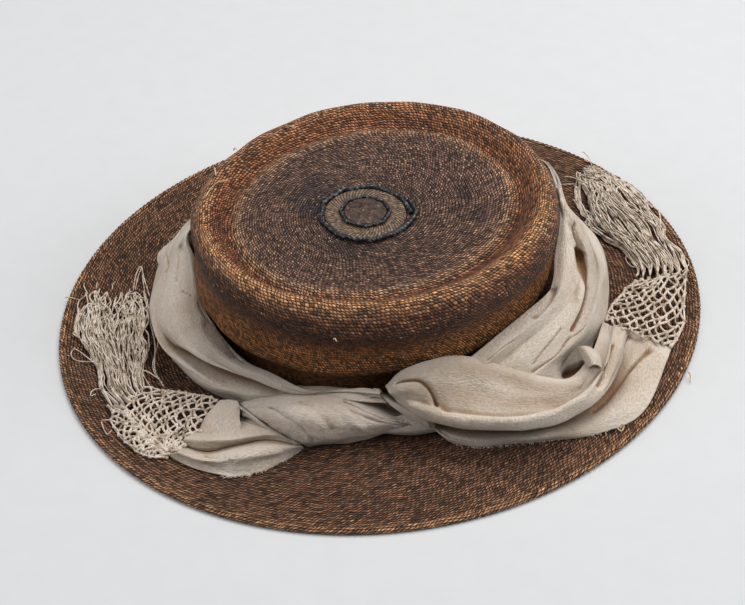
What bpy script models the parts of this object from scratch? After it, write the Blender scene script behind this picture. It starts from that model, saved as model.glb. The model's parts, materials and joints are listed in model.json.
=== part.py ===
"""Cabbage-tree straw hat with a knotted scarf, macrame nets and fringes.

Metres, +Z up. The origin is on the flat underside of the brim, at the middle of the brim's oval.
+Y runs along the long axis of the oval. A bearing is an angle in degrees from +X towards +Y,
and a reach is a distance from the Z axis. The scarf is knotted at a bearing of about 300.
"""

import math

import bmesh
import bpy
import numpy as np

BRIM_LONG = 0.2095
BRIM_CROSS = 0.1893
BRIM_THICK = 0.0025
EDGE_ROW_THICK = 0.0034
EDGE_ROW_WIDE = 0.0045
STRAW_WALL = 0.0022
SEAT_GAP = 0.0003
CLOTH_THICK = 0.0020
CLOTH_GAP = 0.0006
CROWN_STEPS = 43
BRIM_STEPS = 72
SEAT = BRIM_THICK + SEAT_GAP

# Rings of the crown from the foot up to the top, as ovals round their own centres.
CROWN_COLUMNS = ("long_half", "cross_half", "height", "shift_x", "shift_y")
CROWN_RINGS = {
    "foot": (0.0983, 0.0878, SEAT, 0.000, -0.004),
    "neck": (0.0983, 0.0878, 0.0180, 0.000, -0.004),
    "turn_under": (0.1020, 0.0915, 0.0290, -0.001, -0.006),
    "wall_low": (0.1065, 0.0958, 0.0370, -0.001, -0.007),
    "wall_high": (0.1068, 0.0960, 0.0500, -0.001, -0.007),
    "under_bulge": (0.1095, 0.0985, 0.0600, -0.001, -0.007),
    "bulge": (0.1145, 0.1035, 0.0710, -0.001, -0.007),
    "shoulder": (0.1135, 0.1020, 0.0815, -0.001, -0.007),
    "crest": (0.1076, 0.0965, 0.0880, -0.001, -0.007),
    "inner_slope": (0.1000, 0.0890, 0.0845, -0.001, -0.007),
    "valley": (0.0935, 0.0815, 0.0775, -0.001, -0.007),
    "dish_edge": (0.0875, 0.0755, 0.0815, -0.001, -0.007),
    "plateau": (0.0800, 0.0690, 0.0800, -0.001, -0.008),
    "patch_ground": (0.0400, 0.0360, 0.0800, 0.000, -0.014),
}
# How the crown changes round the hat: the rim is sharper on one side, and the wall is pushed out.
RIM_COLUMNS = ("bearing", "bulge_out", "bulge_lift", "crest_lift", "wall_out", "neck_out")
RIM_ROWS = (
    (0.0, 0.0010, -0.0020, 0.0000, 0.0040, 0.0030),
    (45.0, 0.0030, -0.0040, 0.0010, 0.0085, 0.0070),
    (90.0, 0.0010, 0.0000, 0.0005, 0.0040, 0.0030),
    (135.0, 0.0000, 0.0020, 0.0000, 0.0010, 0.0005),
    (180.0, 0.0000, 0.0040, -0.0010, 0.0030, 0.0030),
    (225.0, 0.0005, 0.0075, -0.0005, 0.0068, 0.0090),
    (270.0, 0.0005, 0.0020, 0.0005, 0.0035, 0.0030),
    (315.0, 0.0010, -0.0030, 0.0000, 0.0005, 0.0000),
)
# How far each ring of the crown takes up each of those changes.
TAKE_COLUMNS = ("bulge_out", "bulge_lift", "crest_lift", "wall_out", "neck_out")
RING_TAKES = {
    "neck": (0.0, 0.0, 0.0, 0.0, 1.0),
    "turn_under": (0.0, 0.0, 0.0, 0.5, 0.5),
    "wall_low": (0.0, 0.0, 0.0, 1.0, 0.0),
    "wall_high": (0.0, 0.0, 0.0, 1.0, 0.0),
    "under_bulge": (0.4, 0.5, 0.0, 0.5, 0.0),
    "bulge": (1.0, 1.0, 0.0, 0.0, 0.0),
    "shoulder": (0.6, 0.25, 0.7, 0.0, 0.0),
    "crest": (0.0, 0.0, 1.0, 0.0, 0.0),
    "inner_slope": (0.0, 0.0, 0.5, 0.0, 0.0),
}

# Where the brim's edge row is highest, and how far it is rounded under, as shares and metres.
EDGE_TOP_SHARE = 0.45
EDGE_SIDE_SHARE = 0.60
EDGE_ROUND = 0.0006

# The round patch on the crown top, with its two cord rings.
PATCH_X = 0.0005
PATCH_Y = -0.0165
PATCH_REACH = 0.0244
PATCH_THICK = 0.0014
OUTER_CORD_REACH = 0.0262
OUTER_CORD_RADIUS = 0.0014
OUTER_CORD_END = 72.0
OUTER_CORD_OVERLAP = 28.0
OUTER_CORD_TURN_OUT = 30.0
OUTER_CORD_STEP = 11.5
PATCH_STEPS = 32
PATCH_DOME = 0.0001
INNER_CORD_REACH = 0.0146
INNER_CORD_RADIUS = 0.0010
INNER_CORD_SIDES = 8
INNER_CORD_FLATNESS = 0.65
CENTRE_REACH = 0.0127
CENTRE_THICK = 0.0012
CENTRE_DOME = 0.0008
CENTRE_STEPS = 24
DISC_INNER_SHARE = 0.6

# The scarf's turn round the crown, from the crossing in front, round the back, to the other side.
BAND_COLUMNS = (
    "bearing", "hem_height", "roll_out", "roll_height", "fold_out", "fold_height",
    "belly_out", "belly_height", "foot_out",
)
BAND_ROWS = (
    (-20.0, 0.036, 0.0025, 0.036, 0.0040, 0.028, 0.0050, 0.018, 0.005),
    (-8.0, 0.038, 0.0040, 0.038, 0.0090, 0.027, 0.0120, 0.024, 0.013),
    (0.0, 0.040, 0.0060, 0.041, 0.0130, 0.028, 0.0200, 0.026, 0.023),
    (10.0, 0.042, 0.0070, 0.044, 0.0150, 0.028, 0.0240, 0.029, 0.027),
    (24.0, 0.045, 0.0070, 0.046, 0.0150, 0.028, 0.0240, 0.032, 0.030),
    (40.0, 0.048, 0.0070, 0.048, 0.0150, 0.028, 0.0240, 0.034, 0.033),
    (58.0, 0.051, 0.0070, 0.050, 0.0140, 0.035, 0.0230, 0.033, 0.033),
    (78.0, 0.053, 0.0060, 0.053, 0.0120, 0.042, 0.0190, 0.033, 0.025),
    (105.0, 0.050, 0.0060, 0.050, 0.0120, 0.039, 0.0190, 0.030, 0.022),
    (150.0, 0.045, 0.0070, 0.045, 0.0140, 0.035, 0.0220, 0.026, 0.025),
    (185.0, 0.040, 0.0080, 0.041, 0.0150, 0.031, 0.0270, 0.026, 0.034),
    (205.0, 0.034, 0.0080, 0.037, 0.0150, 0.028, 0.0280, 0.027, 0.038),
    (225.0, 0.029, 0.0060, 0.033, 0.0120, 0.027, 0.0270, 0.025, 0.037),
    (240.0, 0.027, 0.0080, 0.031, 0.0180, 0.020, 0.0260, 0.022, 0.033),
    (252.0, 0.026, 0.0070, 0.031, 0.0145, 0.017, 0.0200, 0.020, 0.028),
    (264.0, 0.026, 0.0060, 0.030, 0.0120, 0.015, 0.0170, 0.018, 0.024),
    (276.0, 0.025, 0.0050, 0.028, 0.0100, 0.015, 0.0140, 0.015, 0.019),
    (286.0, 0.024, 0.0045, 0.027, 0.0085, 0.018, 0.0100, 0.013, 0.012),
    (296.0, 0.024, 0.0040, 0.027, 0.0070, 0.022, 0.0080, 0.015, 0.009),
    (317.25, 0.026, 0.0040, 0.029, 0.0060, 0.025, 0.0070, 0.016, 0.007),
)
BAND_STEP = 5.9
BAND_COUNT = 9
FOOT_TURN_IN = 0.0008
FOOT_HEIGHT_SHARE = 0.45
# Where the hem, roll, fold, belly, foot and floor lines come across the band, from 0 to 1.
BAND_STATIONS = (0.0, 0.2, 0.42, 0.66, 0.86, 1.0)

# The wound roll where the two ends cross, as an oval section along a bearing.
TWIST_COLUMNS = ("bearing", "reach", "height", "half_wide", "half_high")
TWIST_ROWS = (
    (279.0, 0.1400, 0.0110, 0.0030, 0.0060),
    (284.0, 0.1375, 0.0130, 0.0085, 0.0098),
    (291.0, 0.1320, 0.0160, 0.0125, 0.0130),
    (298.0, 0.1265, 0.0165, 0.0130, 0.0138),
    (305.0, 0.1235, 0.0160, 0.0115, 0.0132),
    (312.0, 0.1210, 0.0140, 0.0092, 0.0112),
    (318.0, 0.1195, 0.0115, 0.0062, 0.0086),
    (323.0, 0.1185, 0.0085, 0.0024, 0.0045),
)
TWIST_SIDES = 15
TWIST_STEP = 2.9
TWIST_GROOVE = 0.0012
GROOVE_START = 60.0
GROOVE_TURN = 6.0
GROOVE_WIDE = 20.0

# The right tail, from its mouth beside the crossing to the edge where the net is knotted on.
TAIL_RIGHT_COLUMNS = (
    "bearing", "hem_reach", "hem_height", "hump_reach", "hump_height",
    "slope_reach", "slope_height", "ridge_reach", "ridge_height",
    "under_reach", "under_height", "lip_reach", "lip_height",
)
TAIL_RIGHT_ROWS = (
    (317.5, 0.1045, 0.030, 0.1060, 0.034, 0.1080, 0.033, 0.1100, 0.029, 0.1105, 0.016, 0.1110, 0.008),
    (322.5, 0.1050, 0.033, 0.1075, 0.038, 0.1100, 0.036, 0.1120, 0.029, 0.1125, 0.015, 0.1130, 0.007),
    (327.0, 0.1055, 0.038, 0.1095, 0.042, 0.1150, 0.037, 0.1210, 0.026, 0.1175, 0.012, 0.1260, 0.006),
    (334.0, 0.1075, 0.041, 0.1130, 0.044, 0.1220, 0.035, 0.1340, 0.024, 0.1285, 0.010, 0.1400, 0.006),
    (341.0, 0.1130, 0.040, 0.1190, 0.042, 0.1290, 0.034, 0.1420, 0.024, 0.1365, 0.010, 0.1480, 0.006),
    (348.0, 0.1230, 0.036, 0.1280, 0.037, 0.1370, 0.032, 0.1500, 0.024, 0.1445, 0.009, 0.1550, 0.006),
    (355.0, 0.1350, 0.030, 0.1390, 0.031, 0.1460, 0.028, 0.1570, 0.023, 0.1525, 0.009, 0.1640, 0.006),
    (362.0, 0.1420, 0.026, 0.1460, 0.027, 0.1530, 0.023, 0.1620, 0.022, 0.1600, 0.009, 0.1725, 0.006),
    (369.0, 0.1425, 0.027, 0.1470, 0.031, 0.1540, 0.024, 0.1600, 0.023, 0.1670, 0.011, 0.1780, 0.006),
    (376.0, 0.1410, 0.018, 0.1450, 0.022, 0.1500, 0.017, 0.1560, 0.020, 0.1680, 0.011, 0.1815, 0.006),
    (384.0, 0.1400, 0.010, 0.1440, 0.013, 0.1490, 0.011, 0.1560, 0.015, 0.1680, 0.009, 0.1835, 0.005),
    (390.0, 0.1395, 0.006, 0.1440, 0.007, 0.1500, 0.006, 0.1580, 0.008, 0.1690, 0.006, 0.1840, 0.005),
)
TAIL_STEP = 4.1
LIP_TURN_IN = 0.0004
TAIL_RIGHT_COUNT = 13

# The left tail, from the roll's end to the edge where the net is knotted on.
TAIL_LEFT_COLUMNS = (
    "bearing", "hem_reach", "hem_height", "fold_reach", "fold_height",
    "valley_reach", "valley_height", "ridge_reach", "ridge_height", "lip_reach", "lip_height",
)
TAIL_LEFT_ROWS = (
    (272.5, 0.1385, 0.010, 0.1440, 0.013, 0.1620, 0.006, 0.1760, 0.009, 0.1910, 0.006),
    (277.0, 0.1400, 0.013, 0.1450, 0.016, 0.1600, 0.007, 0.1730, 0.011, 0.1870, 0.006),
    (282.0, 0.1500, 0.014, 0.1530, 0.015, 0.1590, 0.008, 0.1690, 0.011, 0.1820, 0.006),
    (288.0, 0.1500, 0.010, 0.1520, 0.011, 0.1550, 0.008, 0.1620, 0.010, 0.1720, 0.006),
    (294.5, 0.1440, 0.006, 0.1450, 0.007, 0.1465, 0.006, 0.1480, 0.006, 0.1500, 0.005),
)

TAIL_LEFT_COUNT = 10

# The nets of knotted thread, as a diamond mesh between two bearings.
NET_COLUMNS = (
    "start_bearing", "end_bearing", "start_inner", "start_outer", "end_inner", "end_outer",
    "cells_along", "cells_across", "rise",
)
NETS = {
    "net_right": (31.2, 54.0, 0.1390, 0.1850, 0.1620, 0.1950, 6, 6, 0.004),
    "net_left": (271.6, 257.5, 0.1390, 0.1915, 0.1600, 0.1970, 4, 7, 0.003),
}
NET_THICK = 0.0015
NET_OPEN = 0.62

# The fringes, as locks that run on from a head bar at the end of each net.
FRINGE_COLUMNS = (
    "start_bearing", "end_bearing", "start_inner", "start_outer", "end_inner", "end_outer",
    "locks", "steps", "rise", "sway",
)
FRINGES = {
    "fringe_right": (54.5, 90.0, 0.1600, 0.1950, 0.1560, 0.1940, 9, 8, 0.0035, 0.0016),
    "fringe_left": (257.0, 217.0, 0.1570, 0.1955, 0.1540, 0.1895, 9, 8, 0.0040, 0.0018),
}
FRINGE_THICK = 0.0030
LOCK_SHARE = 0.72
# The locks wave from side to side, and each is a little behind the one before it, in degrees.
SWAY_TURN = 270.0
SWAY_LAG = 24.0
# The locks lie over one another in turns, so that some stand higher.
PILE_LEAST = 0.6
PILE_TURN = 120.0

COLOURS = {
    "crown_straw": (0.115, 0.050, 0.024, 1.0),
    "brim_straw": (0.075, 0.036, 0.022, 1.0),
    "patch_plait": (0.130, 0.080, 0.045, 1.0),
    "dark_cord": (0.012, 0.013, 0.018, 1.0),
    "patch_centre": (0.100, 0.055, 0.035, 1.0),
    "scarf_cloth": (0.640, 0.560, 0.450, 1.0),
    "net_thread": (0.600, 0.520, 0.400, 1.0),
    "fringe_thread": (0.600, 0.520, 0.400, 1.0),
}


def clear_scene():
    for obj in list(bpy.data.objects):
        bpy.data.objects.remove(obj, do_unlink=True)


def material(name, colour):
    made = bpy.data.materials.new(name)
    made.use_nodes = True
    shader = made.node_tree.nodes["Principled BSDF"]
    shader.inputs["Base Color"].default_value = colour
    shader.inputs["Roughness"].default_value = 0.85
    return made


def add_object(name, points, faces, material_name):
    mesh = bpy.data.meshes.new(name)
    mesh.from_pydata([tuple(p) for p in points], [], faces)
    mesh.validate()
    work = bmesh.new()
    work.from_mesh(mesh)
    bmesh.ops.recalc_face_normals(work, faces=work.faces)
    work.to_mesh(mesh)
    work.free()
    obj = bpy.data.objects.new(name, mesh)
    bpy.context.scene.collection.objects.link(obj)
    mesh.materials.append(material(material_name, COLOURS[material_name]))
    for face in mesh.polygons:
        face.use_smooth = True
    return obj


def column(rows, columns, name):
    place = columns.index(name)
    return np.array([row[place] for row in rows], float)


def smooth(knots, values, at):
    """A curve through the values that doesn't overshoot between them."""
    slopes = np.diff(values) / np.diff(knots)
    tangent = np.zeros(len(values))
    for i in range(1, len(values) - 1):
        if slopes[i - 1] * slopes[i] > 0:
            tangent[i] = 2.0 * slopes[i - 1] * slopes[i] / (slopes[i - 1] + slopes[i])
    tangent[0] = slopes[0]
    tangent[-1] = slopes[-1]
    at = np.asarray(at, float)
    left = np.clip(np.searchsorted(knots, at, side="right") - 1, 0, len(knots) - 2)
    width = knots[left + 1] - knots[left]
    t = (at - knots[left]) / width
    keep = (1.0 + 2.0 * t) * (1.0 - t) ** 2 * values[left] + t**2 * (3.0 - 2.0 * t) * values[left + 1]
    turn = t * (1.0 - t) ** 2 * tangent[left] - t**2 * (1.0 - t) * tangent[left + 1]
    return keep + turn * width


def round_the_hat(rows, columns, name, bearing):
    """The same curve for a table that closes on itself after 360 degrees."""
    knots = column(rows, columns, "bearing")
    values = column(rows, columns, name)
    knots = np.concatenate([knots - 360.0, knots, knots + 360.0])
    return smooth(knots, np.tile(values, 3), np.asarray(bearing, float) % 360.0)


def place(bearing, reach, height):
    angle = np.radians(bearing)
    return np.stack(np.broadcast_arrays(reach * np.cos(angle), reach * np.sin(angle), height), axis=-1)


def spread(start, end, step):
    return np.linspace(start, end, max(2, round(abs(end - start) / step) + 1))


def oval_points(long_half, cross_half, shift_x, shift_y, bearings):
    angle = np.radians(bearings)
    return np.stack([shift_x + cross_half * np.cos(angle), shift_y + long_half * np.sin(angle)], axis=-1)


def grid_faces(rows, count, wrap):
    faces = []
    for i in range(rows - 1):
        for j in range(count if wrap else count - 1):
            k = (j + 1) % count
            faces.append((i * count + j, i * count + k, (i + 1) * count + k, (i + 1) * count + j))
    return faces


def thicken(obj, thickness):
    shell = obj.modifiers.new("wall", "SOLIDIFY")
    shell.thickness = thickness
    shell.offset = -1.0
    shell.use_even_offset = True
    shell.use_quality_normals = True
    shell.thickness_clamp = 1.0


def facing_up(obj):
    """Turns an open sheet so that its normals look up and out."""
    mesh = obj.data
    if sum(face.normal.z * face.area for face in mesh.polygons) < 0.0:
        mesh.flip_normals()


def crown_ring(name, bearings):
    long_half, cross_half, height, shift_x, shift_y = CROWN_RINGS[name]
    flat = oval_points(long_half, cross_half, shift_x, shift_y, bearings)
    take = dict(zip(TAKE_COLUMNS, RING_TAKES.get(name, (0.0,) * len(TAKE_COLUMNS))))
    change = {
        part: share * round_the_hat(RIM_ROWS, RIM_COLUMNS, part, bearings) for part, share in take.items()
    }
    angle = np.radians(bearings)
    outward = np.stack([np.cos(angle), np.sin(angle)], axis=-1)
    flat = flat + outward * (change["bulge_out"] + change["wall_out"] + change["neck_out"])[:, None]
    return np.column_stack([flat, height + change["bulge_lift"] + change["crest_lift"]])


def crown_reach(bearings, height):
    """How far the crown's wall stands from the Z axis at a height below the bulge."""
    wanted = np.atleast_1d(np.asarray(bearings, float))
    tall = np.broadcast_to(np.asarray(height, float), wanted.shape)
    names = ("foot", "neck", "turn_under", "wall_low", "wall_high", "under_bulge", "bulge")
    fine = np.arange(0.0, 360.0, 2.0)
    reaches = []
    for name in names:
        ring = crown_ring(name, fine)
        turned = np.degrees(np.arctan2(ring[:, 1], ring[:, 0])) % 360.0
        order = np.argsort(turned)
        far = np.hypot(ring[:, 0], ring[:, 1])[order]
        reaches.append(np.interp(wanted % 360.0, turned[order], far, period=360.0))
    levels = np.array([CROWN_RINGS[name][2] for name in names])
    stack = np.array(reaches)
    return np.array([np.interp(tall[i], levels, stack[:, i]) for i in range(len(wanted))])


def make_crown():
    bearings = np.arange(CROWN_STEPS) * 360.0 / CROWN_STEPS
    rings = [crown_ring(name, bearings) for name in CROWN_RINGS]
    points = np.concatenate(rings)
    faces = grid_faces(len(rings), CROWN_STEPS, True)
    top = len(points)
    last = (len(rings) - 1) * CROWN_STEPS
    _, _, height, shift_x, shift_y = CROWN_RINGS["patch_ground"]
    points = np.vstack([points, (shift_x, shift_y, height)])
    faces += [(last + j, last + (j + 1) % CROWN_STEPS, top) for j in range(CROWN_STEPS)]
    crown = add_object("crown", points, faces, "crown_straw")
    facing_up(crown)
    thicken(crown, STRAW_WALL)
    return crown


def make_brim():
    """A flat plaited ring with a thicker row along its edge."""
    bearings = np.arange(BRIM_STEPS) * 360.0 / BRIM_STEPS
    hole_long = CROWN_RINGS["foot"][0] - STRAW_WALL
    hole_cross = CROWN_RINGS["foot"][1] - STRAW_WALL
    hole_y = CROWN_RINGS["foot"][4]
    edge_in = EDGE_ROW_WIDE
    edge_mid = EDGE_ROW_WIDE * EDGE_TOP_SHARE
    rings = (
        (hole_long, hole_cross, 0.0, hole_y),
        (hole_long, hole_cross, BRIM_THICK, hole_y),
        (BRIM_LONG - edge_in, BRIM_CROSS - edge_in, BRIM_THICK, 0.0),
        (BRIM_LONG - edge_mid, BRIM_CROSS - edge_mid, EDGE_ROW_THICK, 0.0),
        (BRIM_LONG, BRIM_CROSS, EDGE_ROW_THICK * EDGE_SIDE_SHARE, 0.0),
        (BRIM_LONG - EDGE_ROUND, BRIM_CROSS - EDGE_ROUND, 0.0, 0.0),
    )
    points = []
    for long_half, cross_half, height, shift_y in rings:
        flat = oval_points(long_half, cross_half, 0.0, shift_y, bearings)
        points.append(np.column_stack([flat, np.full(BRIM_STEPS, height)]))
    faces = grid_faces(len(rings), BRIM_STEPS, True)
    last = (len(rings) - 1) * BRIM_STEPS
    for j in range(BRIM_STEPS):
        k = (j + 1) % BRIM_STEPS
        faces.append((last + j, last + k, k, j))
    return add_object("brim", np.concatenate(points), faces, "brim_straw")


def make_disc(name, reach, low, thick, dome, steps, material_name):
    angle = np.arange(steps) * 2.0 * math.pi / steps
    rings = ((reach, low), (reach, low + thick), (reach * DISC_INNER_SHARE, low + thick + dome * 0.7))
    points = []
    for radius, height in rings:
        x = PATCH_X + radius * np.cos(angle)
        y = PATCH_Y + radius * np.sin(angle)
        points.append(np.column_stack([x, y, np.full(steps, height)]))
    points = np.vstack(points + [np.array([(PATCH_X, PATCH_Y, low + thick + dome)])])
    faces = grid_faces(len(rings), steps, True)
    top = len(points) - 1
    faces += [(2 * steps + j, 2 * steps + (j + 1) % steps, top) for j in range(steps)]
    faces.append(tuple(range(steps)))
    return add_object(name, points, faces, material_name)


def make_cord(name, path, radius, closed, material_name):
    """A round cord along a path of points."""
    curve = bpy.data.curves.new(name, "CURVE")
    curve.dimensions = "3D"
    curve.bevel_depth = radius
    curve.bevel_resolution = 1
    curve.use_fill_caps = True
    line = curve.splines.new("POLY")
    line.points.add(len(path) - 1)
    for point, spot in zip(line.points, path):
        point.co = (spot[0], spot[1], spot[2], 1.0)
    line.use_cyclic_u = closed
    obj = bpy.data.objects.new(name, curve)
    bpy.context.scene.collection.objects.link(obj)
    curve.materials.append(material(name + "_" + material_name, COLOURS[material_name]))
    return obj


def make_patch():
    ground = CROWN_RINGS["patch_ground"][2] + SEAT_GAP
    patch_top = ground + PATCH_THICK
    make_disc("patch_ring", PATCH_REACH, ground, PATCH_THICK, PATCH_DOME, PATCH_STEPS, "patch_plait")
    middle = patch_top + SEAT_GAP
    make_disc("patch_centre", CENTRE_REACH, middle, CENTRE_THICK, CENTRE_DOME, CENTRE_STEPS, "patch_centre")

    # The outer cord goes once round, and its last stretch swings out to lie beside its start.
    turned = spread(0.0, 360.0 + OUTER_CORD_OVERLAP, OUTER_CORD_STEP)
    bearings = OUTER_CORD_END - OUTER_CORD_OVERLAP + turned
    swing_from = 352.0 - OUTER_CORD_TURN_OUT
    beyond = np.clip((turned - swing_from) / OUTER_CORD_TURN_OUT, 0.0, 1.0)
    reach = OUTER_CORD_REACH + beyond * (2.0 * OUTER_CORD_RADIUS + 2.0 * SEAT_GAP)
    angle = np.radians(bearings)
    height = np.full(len(bearings), ground + OUTER_CORD_RADIUS)
    path = np.column_stack([PATCH_X + reach * np.cos(angle), PATCH_Y + reach * np.sin(angle), height])
    make_cord("outer_cord", path, OUTER_CORD_RADIUS, False, "dark_cord")

    corners = INNER_CORD_SIDES
    points = []
    for i in range(corners * 3):
        side = 2.0 * math.pi / corners
        angle = i * side / 3.0
        off = (angle % side) - side / 2.0
        flat_side = math.cos(side / 2.0) / math.cos(off)
        radius = INNER_CORD_REACH * (1.0 - INNER_CORD_FLATNESS + INNER_CORD_FLATNESS * flat_side)
        x = PATCH_X + radius * math.cos(angle)
        y = PATCH_Y + radius * math.sin(angle)
        points.append((x, y, patch_top + SEAT_GAP + INNER_CORD_RADIUS))
    make_cord("inner_cord", points, INNER_CORD_RADIUS, True, "dark_cord")


def draped_sheet(name, bearings, reaches, heights, material_name):
    """A sheet over the hat from arrays [across, along], given a cloth wall underneath."""
    across, along = reaches.shape
    points = place(np.broadcast_to(bearings, reaches.shape), reaches, heights).reshape(-1, 3)
    sheet = add_object(name, points, grid_faces(across, along, False), material_name)
    facing_up(sheet)
    thicken(sheet, CLOTH_THICK)
    return sheet


def across_curve(stations, values, count):
    """Runs each section's few points through a smooth curve with more points."""
    at = np.linspace(0.0, 1.0, count)
    return np.array([smooth(stations, values[:, j], at) for j in range(values.shape[1])]).T


def make_band():
    knots = column(BAND_ROWS, BAND_COLUMNS, "bearing")
    bearings = spread(knots[0], knots[-1], BAND_STEP)
    get = {
        name: smooth(knots, column(BAND_ROWS, BAND_COLUMNS, name), bearings) for name in BAND_COLUMNS[1:]
    }
    hem = crown_reach(bearings, get["hem_height"]) + CLOTH_GAP
    low = np.full(len(bearings), SEAT)
    reaches = np.array([
        hem, hem + get["roll_out"], hem + get["fold_out"], hem + get["belly_out"],
        hem + get["foot_out"], hem + get["foot_out"] - FOOT_TURN_IN,
    ])
    heights = np.array([
        get["hem_height"], get["roll_height"], get["fold_height"], get["belly_height"],
        get["belly_height"] * FOOT_HEIGHT_SHARE, low,
    ])
    stations = np.array(BAND_STATIONS)
    reaches = across_curve(stations, reaches, BAND_COUNT)
    heights = across_curve(stations, heights, BAND_COUNT)
    return draped_sheet("scarf_band", bearings, reaches, heights, "scarf_cloth")


def make_twist():
    """A roll of wound cloth, flat where it lies on the brim, with a groove between its turns."""
    knots = column(TWIST_ROWS, TWIST_COLUMNS, "bearing")
    bearings = spread(knots[0], knots[-1], TWIST_STEP)
    get = {
        name: smooth(knots, column(TWIST_ROWS, TWIST_COLUMNS, name), bearings) for name in TWIST_COLUMNS[1:]
    }
    turned = np.arange(TWIST_SIDES) * 360.0 / TWIST_SIDES
    angle = np.radians(turned)
    points = []
    for i, bearing in enumerate(bearings):
        from_groove = turned - GROOVE_START - GROOVE_TURN * (bearing - knots[0])
        from_groove = (from_groove + 180.0) % 360.0 - 180.0
        groove = TWIST_GROOVE * np.exp(-((from_groove / GROOVE_WIDE) ** 2))
        wide = get["half_wide"][i] - groove
        high = get["half_high"][i] - groove
        reach = get["reach"][i] + wide * np.cos(angle)
        height = np.maximum(get["height"][i] + high * np.sin(angle), SEAT)
        points.append(place(bearing, reach, height))
    points = np.concatenate(points)
    faces = grid_faces(len(bearings), TWIST_SIDES, True)
    last = (len(bearings) - 1) * TWIST_SIDES
    faces.append(tuple(range(TWIST_SIDES)))
    faces.append(tuple(last + j for j in range(TWIST_SIDES)))
    return add_object("scarf_twist", points, faces, "scarf_cloth")


def make_tail(name, rows, columns, count):
    knots = column(rows, columns, "bearing")
    bearings = spread(knots[0], knots[-1], TAIL_STEP)
    names = [entry[:-6] for entry in columns if entry.endswith("_reach")]
    reaches = [smooth(knots, column(rows, columns, part + "_reach"), bearings) for part in names]
    heights = [smooth(knots, column(rows, columns, part + "_height"), bearings) for part in names]
    reaches.append(reaches[-1] - LIP_TURN_IN)
    heights.append(np.full(len(bearings), SEAT))
    stations = np.linspace(0.0, 1.0, len(reaches))
    reaches = across_curve(stations, np.array(reaches), count)
    heights = across_curve(stations, np.array(heights), count)
    return draped_sheet(name, bearings, reaches, heights, "scarf_cloth")


def net_spot(size, along, across):
    """A spot of a net or fringe: along and across run from 0 to 1."""
    bearing = size["start_bearing"] + along * (size["end_bearing"] - size["start_bearing"])
    inner = size["start_inner"] + along * (size["end_inner"] - size["start_inner"])
    outer = size["start_outer"] + along * (size["end_outer"] - size["start_outer"])
    return bearing, inner + across * (outer - inner)


def make_net(name, values):
    """Diamonds of thread side by side, each with its own gap cut through."""
    size = dict(zip(NET_COLUMNS, values))
    across_cells = size["cells_across"]
    along_cells = size["cells_along"]
    corners = {}
    points = []
    faces = []

    def lay(u, v):
        bearing, reach = net_spot(size, u, v)
        along = math.sin(math.pi * min(max(u, 0.0), 1.0))
        across = math.sin(math.pi * min(max(v, 0.0), 1.0))
        low = place(bearing, reach, SEAT + size["rise"] * along * across)
        points.append(low)
        points.append(low + np.array([0.0, 0.0, NET_THICK]))
        return len(points) - 2

    def corner(i, j):
        if (i, j) not in corners:
            corners[(i, j)] = lay(i / (2.0 * along_cells), j / (2.0 * across_cells))
        return corners[(i, j)]

    edges = {}
    for i in range(1, 2 * along_cells):
        for j in range(1, 2 * across_cells):
            if (i + j) % 2:
                continue
            ring = [corner(i - 1, j), corner(i, j + 1), corner(i + 1, j), corner(i, j - 1)]
            middle_u = i / (2.0 * along_cells)
            middle_v = j / (2.0 * across_cells)
            steps = ((-1, 0), (0, 1), (1, 0), (0, -1))
            half_u = NET_OPEN / (2.0 * along_cells)
            half_v = NET_OPEN / (2.0 * across_cells)
            hole = [lay(middle_u + a * half_u, middle_v + b * half_v) for a, b in steps]
            for k in range(4):
                m = (k + 1) % 4
                faces.append((ring[k] + 1, ring[m] + 1, hole[m] + 1, hole[k] + 1))
                faces.append((ring[k], hole[k], hole[m], ring[m]))
                faces.append((hole[k], hole[k] + 1, hole[m] + 1, hole[m]))
                key = frozenset((ring[k], ring[m]))
                edges.setdefault(key, []).append((ring[k], ring[m]))
    for users in edges.values():
        if len(users) == 1:
            a, b = users[0]
            faces.append((a, b, b + 1, a + 1))
    return add_object(name, points, faces, "net_thread")


def make_fringe(name, values):
    """A comb of curved locks on a head bar."""
    size = dict(zip(FRINGE_COLUMNS, values))
    locks = size["locks"]
    steps = size["steps"]
    columns = 2 * locks - 1
    points = []
    faces = []
    spots = {}

    def spot(i, j):
        if (i, j) not in spots:
            along = j / steps
            lock = i // 2
            side = i % 2
            wide = 1.0 / (locks - 1 + LOCK_SHARE)
            across = (lock + LOCK_SHARE * side) * wide
            bearing, reach = net_spot(size, along, across)
            wave = math.sin(math.radians(SWAY_TURN * along + SWAY_LAG * lock))
            reach += size["sway"] * wave * along
            pile = PILE_LEAST + (1.0 - PILE_LEAST) * math.sin(math.radians(PILE_TURN * lock)) ** 2
            low = place(bearing, reach, SEAT + size["rise"] * pile * math.sin(math.pi * along))
            points.append(low)
            points.append(low + np.array([0.0, 0.0, FRINGE_THICK]))
            spots[(i, j)] = len(points) - 2
        return spots[(i, j)]

    edges = {}
    for i in range(columns):
        for j in range(steps):
            if i % 2 and j > 0:
                continue
            ring = [spot(i, j), spot(i + 1, j), spot(i + 1, j + 1), spot(i, j + 1)]
            faces.append(tuple(p + 1 for p in ring))
            faces.append(tuple(reversed(ring)))
            for k in range(4):
                a, b = ring[k], ring[(k + 1) % 4]
                edges.setdefault(frozenset((a, b)), []).append((a, b))
    for users in edges.values():
        if len(users) == 1:
            a, b = users[0]
            faces.append((a, b, b + 1, a + 1))
    return add_object(name, points, faces, "fringe_thread")


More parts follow.
